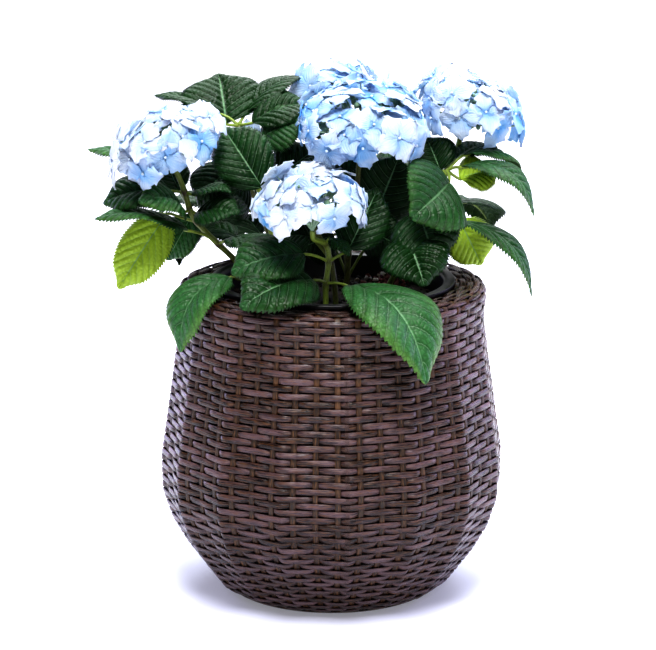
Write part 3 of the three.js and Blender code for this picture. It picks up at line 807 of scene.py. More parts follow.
@dataclass
class WovenPlanter:
    """Strands woven over and under upright stakes, up the fluted wall and over the rim.

    Sizes and heights are in millimetres, and turns in degrees.
    """

    palette: Palette
    outline: tuple[tuple[float, float], ...] = (
        (124, 2), (139, 12), (171, 55), (188, 85), (199, 119), (200, 159), (194, 199), (177, 318),
        (178, 353), (175.5, 360), (167, 363), (137, 361), (133.5, 357))
    base_outline: tuple[tuple[float, float], ...] = (
        (0, 0.5), (60, 0), (118, 0), (121.5, 2), (121.5, 6), (116, 8), (0, 8))
    corner: float = 9.0
    mean_radius: float = 190
    facets: int = 16
    ridge_turn: float = 5.7
    flute_heights: tuple[float, ...] = (0, 45, 90, 150, 200, 260, 320, 353)
    flute_depths: tuple[float, ...] = (1.5, 4.8, 6.6, 5.4, 4.4, 3.6, 1.6, 0)
    flute_end: float = 400
    flute_power: float = 1.7
    stakes: int = 48
    stake_width: float = 7.0
    stake_depth: float = 2.0
    stake_sides: int = 8
    stake_edges: tuple[float, float] = (0.5, 0.7)
    stake_step: float = 9.0
    stake_seed: int = 43
    strand_width: float = 7.3
    strand_depth: float = 2.3
    strand_sides: int = 8
    strand_seed: int = 41
    strand_edges: tuple[float, float] = (0.7, 0.8)
    low_width: float = 0.84
    width_reach: float = 900
    wobble_slow: float = 0.3
    wobble_fast: float = 0.25
    samples: int = 288
    dip: float = 6.0
    pitch_low: float = 7.0
    pitch_high: float = 8.2
    pitch_reach: float = 150
    lower_rows: int = 26
    back_sides: int = 96
    back_step: float = 8.0
    back_gap: float = 0.2
    back_thickness: float = 0.4

    @property
    def swing(self) -> float:
        """How far a strand's middle lies out of a stake's middle."""
        return (self.strand_depth + self.stake_depth) / 2

    @cached_property
    def profile(self) -> np.ndarray:
        """The wall's line, with its corners rounded.

        Returns:
            The radius and the height, a row for each millimetre of its length.
        """
        corners = np.array(self.outline, float)
        length = lengths(corners)
        where = np.arange(0, length[-1], 1.0)
        line = np.column_stack([np.interp(where, length, corners[:, axis]) for axis in (0, 1)])
        half = int(self.corner / 2)
        padded = np.vstack([np.repeat(line[:1], half, 0), line, np.repeat(line[-1:], half, 0)])
        window = np.ones(2 * half + 1) / (2 * half + 1)
        return np.column_stack([np.convolve(padded[:, axis], window, "valid") for axis in (0, 1)])

    def surface(self, where: np.ndarray, turns: np.ndarray, depth: np.ndarray) -> np.ndarray:
        """Points on the wall.

        Args:
            where: Length along the profile from the base.
            turns: Angle round the Z axis past the first ridge.
            depth: How far out of the wall's face each point is.

        Returns:
            The points in metres, one row each.
        """
        line = self.profile
        slope = np.gradient(line, axis=0)
        slope /= np.linalg.norm(slope, axis=1)[:, None]
        steps = np.arange(len(line))
        radius, height, along_r, along_z = (
            np.interp(where, steps, values) for values in (line[:, 0], line[:, 1], slope[:, 0], slope[:, 1]))
        to_ridge = np.abs(2 * ((turns * self.facets / 360) % 1) - 1)
        flute = np.interp(height, self.flute_heights, self.flute_depths) * (where < self.flute_end)
        reach = radius - flute * (1 - to_ridge ** self.flute_power) + depth * along_z
        level = height - depth * along_r
        angle = np.radians(turns + self.ridge_turn - 90)
        return np.column_stack([reach * np.cos(angle), reach * np.sin(angle), level]) * MM

    def row_places(self) -> list[float]:
        """Where the rows lie, closer together towards the base.

        Returns:
            The place of each row along the profile.
        """
        end = len(self.profile) - 0.6 * self.strand_width
        places = [0.55 * self.strand_width]
        while places[-1] < end:
            share = min(places[-1] / self.pitch_reach, 1)
            places.append(places[-1] + self.pitch_low + share * (self.pitch_high - self.pitch_low))
        return places[:-1]

    def phase(self, turns: np.ndarray, row: int) -> np.ndarray:
        """Where points lie along a row, in stakes: even numbers before a stake, odd ones behind one."""
        return turns * self.stakes / 360 - 0.5 + row

    def sway(self, turns: np.ndarray, row: int) -> np.ndarray:
        """How far a row lies out of the stakes.

        Args:
            turns: Angles round the Z axis.
            row: The row's number.

        Returns:
            Values of 1 along a float and of about -1 behind a stake.
        """
        phase = self.phase(turns, row)
        to_stake = np.abs((phase + 1) - 2 * np.rint((phase + 1) / 2))
        reach = 2 * math.pi * self.mean_radius / self.stakes * to_stake
        return 0.9 + 0.1 * np.cos(math.pi * phase) - 1.86 * np.exp(-((reach / self.dip) ** 2))

    def strands(self, name: str, rows: Sequence[tuple[int, float]]) -> bpy.types.Object:
        """Rows of the weave, each a loop of flattened strand.

        Args:
            name: The piece's name.
            rows: Number of each row and its place along the profile.

        Returns:
            The new object.
        """
        deselect_all()
        bpy.ops.mesh.primitive_torus_add(major_segments=self.samples, minor_segments=self.strand_sides,
                                         major_radius=1, minor_radius=0.1)
        ring, faces = take_template(bpy.context.object)
        angle = np.degrees(np.arctan2(ring[:, 1], ring[:, 0])) % 360
        section = np.arctan2(ring[:, 2], np.hypot(ring[:, 0], ring[:, 1]) - 1)
        draws = np.random.default_rng(self.strand_seed + len(rows))
        draft = Draft()
        for row, place in rows:
            drift, swell = draws.uniform(0, 360), draws.uniform(-0.05, 0.05)
            floats = draws.uniform(-0.4, 0.6, self.stakes // 2) + draws.uniform(-0.2, 0.2)
            wobble = (self.wobble_slow * np.sin(np.radians(3 * angle + drift))
                      + self.wobble_fast * np.sin(np.radians(11 * angle + 2 * drift)))
            width = self.strand_width * (1 + swell) * min(1, self.low_width + place / self.width_reach)
            rise = 0.5 * width * pushed_out(np.sin(section), self.strand_edges[0])
            out = 0.5 * self.strand_depth * pushed_out(np.cos(section), self.strand_edges[1])
            depth = self.swing * (self.sway(angle, row) - 1) - 0.5 * self.strand_depth + out
            points = self.surface(place + rise + wobble, angle, depth)
            span = np.rint(self.phase(angle, row) / 2).astype(int) % len(floats)
            uv = np.column_stack([angle / 360 * 1.2 + 0.37 * row, section / (2 * math.pi) + 0.5])
            draft.add(points, faces, uv, 0.22 + 0.22 * (row % 2) + floats[span])
        piece = draft.build(name, [self.palette.strand])
        merge_close(piece, outward=True)
        return piece

    def painted_shade_sheet(self) -> bpy.types.Object:
        """A near-black sheet close behind the weave's rows: painted shade, so that the gaps between the
        strands read dark.

        Returns:
            The new object.
        """
        where = np.arange(4.0, len(self.profile) - 6, self.back_step)
        turns = np.arange(0, 360, 360 / self.back_sides)
        inner = -(2 * self.strand_depth + self.stake_depth) - self.back_gap
        level = np.ones(len(turns))
        rings = [self.surface(level * place, turns, level * inner) for place in where]
        uv = np.array([[turn / 300, place / 400] for place in where for turn in turns])
        draft = Draft()
        draft.add(np.vstack(rings), ring_faces(len(where), self.back_sides), uv, 0.0)
        piece = draft.build("painted_shade_sheet", [self.palette.shadow])
        thicken(piece, self.back_thickness * MM, 0)
        return piece

    def uprights(self) -> bpy.types.Object:
        """The stakes, each a flat strip from the base over the rim.

        Returns:
            The new object.
        """
        sides = self.stake_sides
        end = len(self.profile) - 1
        where = np.concatenate([np.arange(1.0, end, self.stake_step), [end]])
        turns = (np.arange(sides) + 0.5) * 2 * math.pi / sides
        across = 0.5 * self.stake_width * pushed_out(np.cos(turns), self.stake_edges[0])
        out = 0.5 * self.stake_depth * pushed_out(np.sin(turns), self.stake_edges[1])
        middle = -0.5 * self.strand_depth - self.swing
        faces = ring_faces(len(where), sides)
        faces.append(list(range(sides - 1, -1, -1)))
        faces.append([(len(where) - 1) * sides + step for step in range(sides)])
        uv = np.array([[place * MM, step / sides] for place in where for step in range(sides)])
        draws = np.random.default_rng(self.stake_seed)
        draft = Draft()
        for stake in range(self.stakes):
            middle_turn = 360 / self.stakes * (stake + 0.5)
            rings = []
            for place in where:
                spread = middle_turn + np.degrees(across / self.profile[int(place), 0])
                rings.append(self.surface(np.full(sides, place), spread, middle + out))
            draft.add(np.vstack(rings), faces, uv, 0.5 + draws.uniform(-0.25, 0.25))
        piece = draft.build("upright_stakes", [self.palette.stake])
        merge_close(piece, outward=True)
        return piece

    def base(self) -> bpy.types.Object:
        """The flat base inside the lowest row.

        Returns:
            The new object.
        """
        piece = lathe("planter_base", self.base_outline, self.back_sides, 0)
        layer = piece.data.uv_layers.new(name="along_across")
        for loop in piece.data.loops:
            place = piece.data.vertices[loop.vertex_index].co
            layer.data[loop.index].uv = (place.x * 4, place.y * 12)
        set_tone(piece.data, np.full(len(piece.data.vertices), 0.1))
        piece.data.materials.append(self.palette.strand)
        return piece

    def build(self) -> None:
        """Makes the planter's pieces."""
        rows = list(enumerate(self.row_places()))
        dress(self.strands("wall_strands", rows[:self.lower_rows]), Slot.WICKER, "wicker_planter")
        dress(self.strands("rim_strands", rows[self.lower_rows:]), Slot.WICKER)
        dress(self.painted_shade_sheet(), Slot.WICKER)
        dress(self.uprights(), Slot.WICKER)
        dress(self.base(), Slot.WICKER)


@dataclass
class HangingFrame:
    """The rods behind the weave, which keep their solid and get a coated finish."""

    palette: Palette
    node: str = "planter_frame"

    def build(self) -> None:
        """Coats the rods."""
        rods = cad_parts[self.node]
        for slot in rods.material_slots:
            slot.material = self.palette.rod
        LOG.info("%s: coated", self.node)


@dataclass
class Filling:
    """The black plastic liner and the compost in it, in millimetres."""

    palette: Palette
    rim: float = 141.5
    flange: float = 12
    top: float = 366
    lip: float = 4.4
    foot: float = 104
    bottom: float = 112
    wall: float = 2.4
    level: float = 340
    crown: float = 5
    reach: float = 123
    ground_sides: int = 96
    lump_height: float = 2.4
    lump_edge: float = 124.5
    lump_fade: float = 6
    liner_sides: int = 128
    liner_edge: float = 0.9
    crumbs: int = 420
    crumb_reach: float = 118
    crumb_seed: int = 47
    bits: int = 90
    bits_middle: Point = (62, 66, 345)
    bits_spread: Point = (11, 14, 6)
    bits_seed: int = 53

    def liner(self) -> bpy.types.Object:
        """The liner, with a turned-down flange that has a soft edge.

        Returns:
            The new object.
        """
        mouth = self.rim - self.flange
        under = self.top - self.lip
        floor = self.bottom + self.wall
        piece = lathe("plastic_liner", [
            (0, self.bottom), (self.foot, self.bottom), (mouth + 1, under), (self.rim, under),
            (self.rim, self.top), (mouth + 3, self.top), (mouth, self.top - 1), (mouth - 1.5, self.top - 3),
            (self.foot - self.wall, floor), (0, floor)], self.liner_sides, self.liner_edge * MM)
        piece.data.materials.append(self.palette.liner)
        return piece

    def top_at(self, radius: float) -> float:
        """The height of the compost's top at a distance from the middle."""
        return self.level + self.crown * (1 - (radius / self.reach) ** 2)

    def ground(self) -> bpy.types.Object:
        """The compost, uneven on top.

        Returns:
            The new object.
        """
        top = [(radius, self.top_at(radius)) for radius in (*range(0, 113, 8), 118, self.reach)]
        foot = self.bottom + 4
        piece = lathe("compost_ground", [*top, (101, foot), (0, foot)], self.ground_sides, 0)
        for vertex in piece.data.vertices:
            if vertex.co.z > 2 * foot * MM:
                lumps = noise.noise(vertex.co * 90) + 0.6 * noise.noise(vertex.co * 230)
                to_edge = self.lump_edge * MM - math.hypot(vertex.co.x, vertex.co.y)
                fade = min(1, to_edge / (self.lump_fade * MM))
                vertex.co.z += self.lump_height * MM * lumps * fade
        set_tone(piece.data, np.zeros(len(piece.data.vertices)))
        piece.data.materials.append(self.palette.compost)
        return piece

    @staticmethod
    def lump(draft: Draft, middle: Point, sizes: Sequence[float], roughness: float, dark_share: float,
             draws: np.random.Generator, lift: float = 0) -> None:
        """Adds one rough lump.

        Args:
            draft: Where the lump goes.
            middle: Its middle.
            sizes: Least and greatest size, and least and greatest stretch of each side.
            roughness: How far its points leave a ball.
            dark_share: The share of lumps that stay dark.
            draws: Random values.
            lift: How much of its height it stands above its middle.
        """
        ball, faces = ball_template()
        size = draws.uniform(*sizes[:2]) * draws.uniform(*sizes[2:], 3)
        rough = 1 + roughness * draws.uniform(-1, 1, len(ball))[:, None]
        place = np.array([*middle[:2], middle[2] + lift * size[2]])
        draft.add((place + ball * rough * size) * MM, faces, ball[:, :2], float(draws.random() > dark_share))

    def litter(self) -> bpy.types.Object:
        """Crumbs of compost with a few pale specks.

        Returns:
            The new object.
        """
        draws = np.random.default_rng(self.crumb_seed)
        draft = Draft()
        for _ in range(self.crumbs):
            radius = self.crumb_reach * draws.uniform(0.05, 1) ** 0.5
            turn = draws.uniform(0, 2 * math.pi)
            middle = (radius * math.cos(turn), radius * math.sin(turn), self.top_at(radius))
            self.lump(draft, middle, (1.0, 3.2, 0.6, 1.2), 0.25, 0.93, draws, lift=0.3)
        return draft.build("compost_crumbs", [self.palette.compost])

    def dry_bits(self) -> bpy.types.Object:
        """A drift of reddish dry bits at the far right of the pot.

        Returns:
            The new object.
        """
        draws = np.random.default_rng(self.bits_seed)
        draft = Draft()
        for _ in range(self.bits):
            aside = [draws.normal(0, self.bits_spread[axis]) for axis in (0, 1)]
            offset = (*aside, draws.uniform(0, self.bits_spread[2]))
            middle = tuple(start + step for start, step in zip(self.bits_middle, offset))
            self.lump(draft, middle, (1.4, 4.0, 0.5, 1.3), 0.3, 0.85, draws)
        return draft.build("dry_bits", [self.palette.bark])

    def build(self) -> None:
        """Makes the liner and the compost."""
        dress(self.liner(), Slot.LINER, "liner_pot")
        dress(self.ground(), Slot.SOIL, "soil")
        dress(self.litter(), Slot.SOIL)
        dress(self.dry_bits(), Slot.SOIL)


# Leafy stems


@dataclass(frozen=True)
class Leaf:
    """One leaf, in millimetres: where its stalk starts on the route, and how its blade lies."""

    at: int
    base: Point
    tip: Point
    width: float
    bow: float
    face: Point = UP
    shade: Shade = Shade.PLAIN


@dataclass
class LeafMaker:
    """Shapes blades from one flat grid, and their stalks, in millimetres."""

    rows: int = 56
    columns: int = 20
    thickness: float = 0.7
    tooth: float = 3.0
    quilt: float = 2.3
    groove: float = 0.7
    stalk: float = 1.7
    stalk_sides: int = 8
    rib_points: int = 12
    rib_depth: float = 0.75
    long_stalk: float = 25

    def __post_init__(self) -> None:
        """Takes the flat grid that every blade is shaped from."""
        self.grid, self.faces = grid_template(self.rows, self.columns)

    @staticmethod
    def axes(leaf: Leaf) -> tuple[np.ndarray, np.ndarray, np.ndarray, float]:
        """The ways in which a blade lies.

        Args:
            leaf: The leaf.

        Returns:
            The directions along, aside and up, and the blade's length.
        """
        along = np.array(leaf.tip, float) - np.array(leaf.base, float)
        length = float(np.linalg.norm(along))
        along /= length
        up = np.array(leaf.face, float)
        up = unit(up - along * np.dot(up, along))
        return along, np.cross(along, up), up, length

    @staticmethod
    def half_width(share: np.ndarray) -> np.ndarray:
        """Half the blade's width along it: broad near its base, with a long pointed tip.

        Args:
            share: Shares of the way from base to tip.

        Returns:
            Shares of the leaf's full width.
        """
        inside = np.clip(share, 0, 1)
        taper = 1 - 0.4 * np.clip((inside - 0.8) / 0.14, 0, 1) * np.clip((1.0 - inside) / 0.06, 0, 1)
        return 1.3 * inside ** 0.64 * (1 - inside) ** 0.74 * taper

    def blade_points(self, leaf: Leaf, share: np.ndarray, across: np.ndarray) -> np.ndarray:
        """Points on a blade's middle layer.

        Args:
            leaf: The leaf.
            share: Shares of the way from base to tip.
            across: Shares of the way to the edge, negative on the left.

        Returns:
            The points, one row each.
        """
        along, side, up, length = self.axes(leaf)
        wide = np.abs(across)
        reach = leaf.width * self.half_width(share)
        lift = reach * (0.42 * wide - 0.4 * wide ** 2.4)
        wave = 0.035 * leaf.width * wide ** 2 * np.sin(9 * share + np.where(across > 0, 1, 3))
        belly = 4 * share * (1 - share)
        phase = VEIN_PAIRS * (share - VEIN_SWEEP * wide ** VEIN_CURVE * belly ** VEIN_BELLY)
        bulge = np.abs(np.sin(math.pi * phase)) ** 0.8 * np.minimum(1, wide / 0.12) * (1 - 0.65 * wide ** 3)
        bulge *= self.quilt * min(1, leaf.width / 70) * np.clip((1 - share) / 0.15, 0, 1)
        groove = -self.groove * np.exp(-((across / 0.05) ** 2)) * np.clip((1 - share) / 0.1, 0, 1)
        height = leaf.bow * 4 * share * (1 - share) + lift + wave + bulge + groove
        return (np.array(leaf.base, float) + np.outer(share * length, along)
                + np.outer(reach * across, side) + np.outer(height, up))

    def blade(self, leaf: Leaf, draft: Draft, tone: float) -> None:
        """Adds one toothed blade to a draft.

        Args:
            leaf: The leaf.
            draft: Where the blade goes.
            tone: Its lightness.
        """
        share, across = self.grid[:, 0].copy(), self.grid[:, 1].copy()
        row = np.rint(share * self.rows).astype(int)
        length = math.dist(leaf.tip, leaf.base)
        edge = (np.abs(across) > 0.999) & (row % 2 == 1) & (row > 3) & (row < self.rows - 1)
        size = np.clip(self.half_width(share) * leaf.width / 16, 0.25, 1)
        reach = np.maximum(self.half_width(share) * leaf.width, 1)
        across = across * np.where(edge, 1 + self.tooth * size / reach, 1)
        share = np.minimum(share + np.where(edge, 0.7 * self.tooth * size / length + 0.004, 0), 0.999)
        points = self.blade_points(leaf, share, across)
        uv = np.column_stack([share, np.clip(across, -1, 1)])
        draft.add(points * MM, self.faces, uv, tone)

    def stalk_and_rib(self, leaf: Leaf, start: np.ndarray, draft: Draft, tone: float) -> None:
        """Adds the leaf's stalk, which runs on as the rib under the blade.

        Args:
            leaf: The leaf.
            start: Where the stalk leaves the stem.
            draft: Where the stalk goes.
            tone: Its lightness.
        """
        _, _, up, _ = self.axes(leaf)
        base = np.array(leaf.base, float)
        reach = float(np.linalg.norm(base - start))
        share = np.linspace(0.04, 0.93, self.rib_points)
        rib = self.blade_points(leaf, share, np.zeros(self.rib_points)) - up * self.rib_depth
        points = [start, base, *rib[::2]]
        if reach > self.long_stalk:
            points.insert(1, (start + base) / 2 + up * 0.08 * reach)
        path = smooth_path([tuple(point) for point in points], 3)
        passed = lengths(path)
        beyond = np.clip((passed - reach) / max(passed[-1] - reach, 1), 0, 1)
        radii = self.stalk * (1 - 0.85 * beyond ** 0.6) + 0.9 * np.exp(-passed / 3)
        points, faces, uv = tube(path * MM, radii * MM, self.stalk_sides)
        draft.add(points, faces, uv, tone)


@dataclass
class LeafyStem:
    """One stem with its leaves."""

    name: str
    route: tuple[Point, ...]
    leaves: tuple[Leaf, ...]
    head: "FlowerHead | None" = None
    # How green and lit a stem is: partly age and partly painted shade, low for stems that stand in shade
    # inside the plant.
    youth_and_light: float = 0.75
    radius: float = 3.4
    taper: float = 0.12
    sides: int = 14
    steps: int = 8
    node_swell: float = 0.7
    node_reach: float = 5
    scar_reach: float = 3.5

    def points(self) -> list[np.ndarray]:
        """The points that the stem passes.

        Returns:
            The route's own points, and the straight end below a flower head.
        """
        points = [np.array(point, float) for point in self.route]
        if self.head is not None:
            seat, up = self.head.seat()
            points += [seat - up * 3 * self.radius, seat - up * 0.3]
        return points

    def build(self, maker: LeafMaker, palette: Palette) -> None:
        """Makes the blades as one piece and the stem with its stalks as another.

        Args:
            maker: The shaper of blades and stalks.
            palette: The finished materials.
        """
        draws = np.random.default_rng(len(self.name) * 100 + len(self.leaves))
        points = self.points()
        path = smooth_path([tuple(point) for point in points], self.steps)
        knots = np.array([points[leaf.at] for leaf in self.leaves])
        nearest = np.min(np.linalg.norm(path[:, None] - knots[None], axis=2), axis=1)
        radii = self.radius * (1 - self.taper * np.linspace(0, 1, len(path)))
        radii += self.node_swell * np.exp(-((nearest / self.node_reach) ** 2))
        radii[-1] *= 0.9
        stalks, blades = Draft(), Draft()
        tube_points, faces, uv = tube(path * MM, radii * MM, self.sides)
        tones = self.youth_and_light - 0.5 * np.exp(-((nearest / self.scar_reach) ** 2))
        stalks.add(tube_points, faces, uv, np.append(np.repeat(tones, self.sides), tones[[0, -1]]))
        for leaf in self.leaves:
            maker.blade(leaf, blades, float(np.clip(leaf.shade.value + draws.uniform(-0.12, 0.12), 0, 1)))
            maker.stalk_and_rib(leaf, points[leaf.at], stalks, 0.3 + 0.7 * self.youth_and_light)
        blade_piece = blades.build(f"leaves_{self.name}", [palette.blade_under, palette.blade_top])
        merge_close(blade_piece)
        thicken(blade_piece, maker.thickness * MM, 1)
        dress(blade_piece, Slot.LEAF, f"stem_{self.name}")
        dress(stalks.build(f"stalks_{self.name}", [palette.stalk]), Slot.LEAF)


# Flower heads


@dataclass
class FlowerHead:
    """A dome of florets on thin stalks, in millimetres."""

    name: str
    centre: Point
    axis: Point
    radius: float
    rise: float
    florets: int
    seed: int
    blue: float = 0.25
    sepal: float = 27
    sepal_grid: tuple[int, int] = (8, 4)
    sepal_thickness: float = 0.4
    eye: float = 1.7
    near: float = 1.75
    bud_share: float = 2.6
    stalk: tuple[float, float] = (1.5, 0.8)
    stalk_sides: int = 6
    layer: float = 3.4
    layers: int = 4
    lean: float = 0.22
    spread: float = 1.12
    foot: float = 0.8

    @property
    def axes(self) -> np.ndarray:
        """The dome's half widths and its height."""
        return np.array([self.radius, self.radius, self.rise])

    def seat(self) -> tuple[np.ndarray, np.ndarray]:
        """How the head stands on its stem.

        Returns:
            The place of its foot, and the way that it points.
        """
        up = unit(self.axis)
        return np.array(self.centre, float) - up * self.foot * self.rise, up

    def draws(self) -> Iterator[float]:
        """Random values, the same each time.

        Yields:
            Values from 0 to 1.
        """
        state = self.seed * SEED_STEP
        while True:
            state = (state * DRAW_FACTOR) % DRAW_RANGE
            yield state / DRAW_RANGE

    def places(self) -> Iterator[tuple[np.ndarray, Matrix, float, float, int, float]]:
        """Where each floret is.

        Yields:
            Its middle, the turn that lays it on the dome, its spin, its size, its layer and its
            height on the dome from about 0 to 1.
        """
        stand = turn_from_up(self.seat()[1])
        draw = self.draws()
        placed: list[tuple[np.ndarray, int]] = []
        reach = self.near * self.sepal
        for number in range(self.florets):
            cosine = 1 - self.spread * (number + 0.4) / self.florets
            sine = math.sqrt(1 - cosine * cosine)
            angle = number * GOLDEN_ANGLE + self.seed
            dome = np.array([sine * math.cos(angle), sine * math.sin(angle), cosine])
            spot = dome * self.axes
            out = unit(dome / self.axes)
            near = {layer for other, layer in placed if np.linalg.norm(other - spot) < reach}
            layer = next((free for free in range(self.layers) if free not in near), self.layers - 1)
            placed.append((spot, layer))
            middle = np.array(stand @ Vector(spot + out * (layer - 1) * self.layer)) + self.centre
            turn = turn_from_up(stand @ Vector(out))
            spin = next(draw) * math.pi
            yield middle, turn, spin, self.sepal * (0.92 + 0.16 * next(draw)), layer, cosine

    def sepals(self, grid: np.ndarray, spin: float, size: float,
               draws: np.random.Generator) -> Iterator[np.ndarray]:
        """The four sepals of one floret, flat on the ground with its middle at the origin.

        Args:
            grid: Points of a flat grid, along and across.
            spin: Angle of the first sepal.
            size: Reach of a sepal in millimetres.
            draws: Random values for their ripples.

        Yields:
            The points of each sepal.
        """
        along, across = grid[:, 0] ** 0.9, grid[:, 1]
        width = np.interp(along, (0, 0.12, 0.3, 0.5, 0.66, 0.82, 0.92, 1),
                          (0.16, 0.5, 0.92, 1.04, 0.84, 0.44, 0.2, 0.0))
        edge = np.abs(across) > 0.99
        cup = draws.uniform(-0.8, 2.6)
        for petal in range(4):
            wave, skew = draws.uniform(0, 6), draws.uniform(-0.12, 0.12)
            ripple = edge * 0.08 * np.sin(19 * along + wave + across)
            reach = size * (0.04 + 0.99 * along)
            aside = size * ((0.46 * width + ripple * (along < 0.97)) * across + skew * along ** 2)
            level, curl = (0.5, 1.6) if petal % 2 else (-0.5, -1.4)
            lift = level + cup * np.sin(math.pi * along) - 1.5 * along ** 2
            lift += along * (curl * across ** 2 + 1.3 * np.sin(4 * across + 5 * along + wave)
                             + 1.2 * across ** 4 * np.sin(17 * along + 3 * wave))
            height = lift - 0.24 / self.radius * (reach ** 2 + aside ** 2) + 0.1 * np.abs(aside)
            angle = spin + petal * math.pi / 2 + 0.6 * skew
            yield np.column_stack([reach * math.cos(angle) - aside * math.sin(angle),
                                   reach * math.sin(angle) + aside * math.cos(angle), height])

    def buds(self, draws: np.random.Generator, draft: Draft) -> None:
        """Adds the small green buds that fill the dome under the florets.

        Args:
            draws: Random values.
            draft: Where the buds go.
        """
        ball, faces = ball_template()
        stand = np.array(turn_from_up(self.seat()[1]))
        for _ in range(int(self.bud_share * self.radius)):
            height, turn = draws.uniform(-0.1, 1), draws.uniform(0, 2 * math.pi)
            side = math.sqrt(1 - height ** 2)
            spot = np.array([side * math.cos(turn), side * math.sin(turn), height]) * self.axes
            middle = stand @ spot * draws.uniform(0.6, 0.82) + np.array(self.centre)
            size = draws.uniform(2, 4.2) * draws.uniform(0.8, 1.3, 3)
            draft.add((middle + ball * size) * MM, faces, ball[:, :2], draws.uniform(0.1, 0.5))

    def build(self, palette: Palette) -> None:
        """Makes the petals, the eyes and the stalks of the head.

        Args:
            palette: The finished materials.
        """
        grid, faces = grid_template(*self.sepal_grid)
        ball, ball_faces = ball_template()
        draws = np.random.default_rng(self.seed)
        petals, eyes, stalks = Draft(), Draft(), Draft()
        seat, up = self.seat()
        for middle, turn, spin, size, layer, height in self.places():
            lean = (Matrix.Rotation(draws.normal(0, self.lean), 3, "X")
                    @ Matrix.Rotation(draws.normal(0, self.lean), 3, "Y"))
            matrix = np.array(turn @ lean)
            # Painted shade: deeper layers and florets lower on the dome get a higher tone and so more blue;
            # the last draw is random tone.
            tone = self.blue + 0.09 * (3 - layer) + 0.24 * (1 - height) - 0.24 + draws.uniform(-0.22, 0.24)
            middle = middle + matrix @ np.array([0, 0, draws.uniform(-3, 1.5)])
            for points in self.sepals(grid, spin, size, draws):
                petals.add((points @ matrix.T + middle) * MM, faces, grid[:, :2], max(tone, 0))
            out = matrix @ np.array([0, 0, 1.0])
            eyes.add((middle + out * 1.1 + ball * self.eye) * MM, ball_faces, ball[:, :2], 0.5)
            reach = middle - out * 1.2
            bend = seat + up * (0.3 * self.rise) + 0.2 * (reach - seat)
            way = [seat - up * 0.5, bend, reach - out * 12, reach]
            path = smooth_path([tuple(point) for point in way], 4)
            radii = np.linspace(*self.stalk, len(path))
            points, tube_faces, uv = tube(path * MM, radii * MM, self.stalk_sides)
            stalks.add(points, tube_faces, uv, 0.9)
        self.buds(draws, stalks)
        piece = petals.build(f"petals_{self.name}", [palette.petal])
        merge_close(piece)
        thicken(piece, self.sepal_thickness * MM, 0)
        dress(piece, Slot.PETAL, f"flower_head_{self.name}")
        dress(eyes.build(f"floret_eyes_{self.name}", [palette.bead]), Slot.PETAL)
        dress(stalks.build(f"floret_stalks_{self.name}", [palette.thread]), Slot.LEAF)


# The plant's shape


HEADS = {
    "front": FlowerHead("front", (-25, -104, 470), (-0.1, -0.22, 0.95), 57, 36, 19, 3, blue=0.1),
    "left": FlowerHead("left", (-188, -40, 527), (-0.35, -0.2, 0.9), 58, 36, 19, 5, blue=0.1),
    "centre": FlowerHead("centre", (33, -15, 548), (0.05, -0.3, 0.95), 72, 36, 26, 7, blue=0.38),
    "right": FlowerHead("right", (154, 44, 551), (0.2, -0.15, 0.95), 60, 40, 20, 11, blue=0.3),
    "back": FlowerHead("back", (6, 122, 560), (0, 0.3, 1), 48, 32, 15, 13, blue=0.3),
    "back_left": FlowerHead("back_left", (-106, 118, 486), (-0.15, 0.3, 0.95), 36, 26, 9, 17, blue=0.3),
}

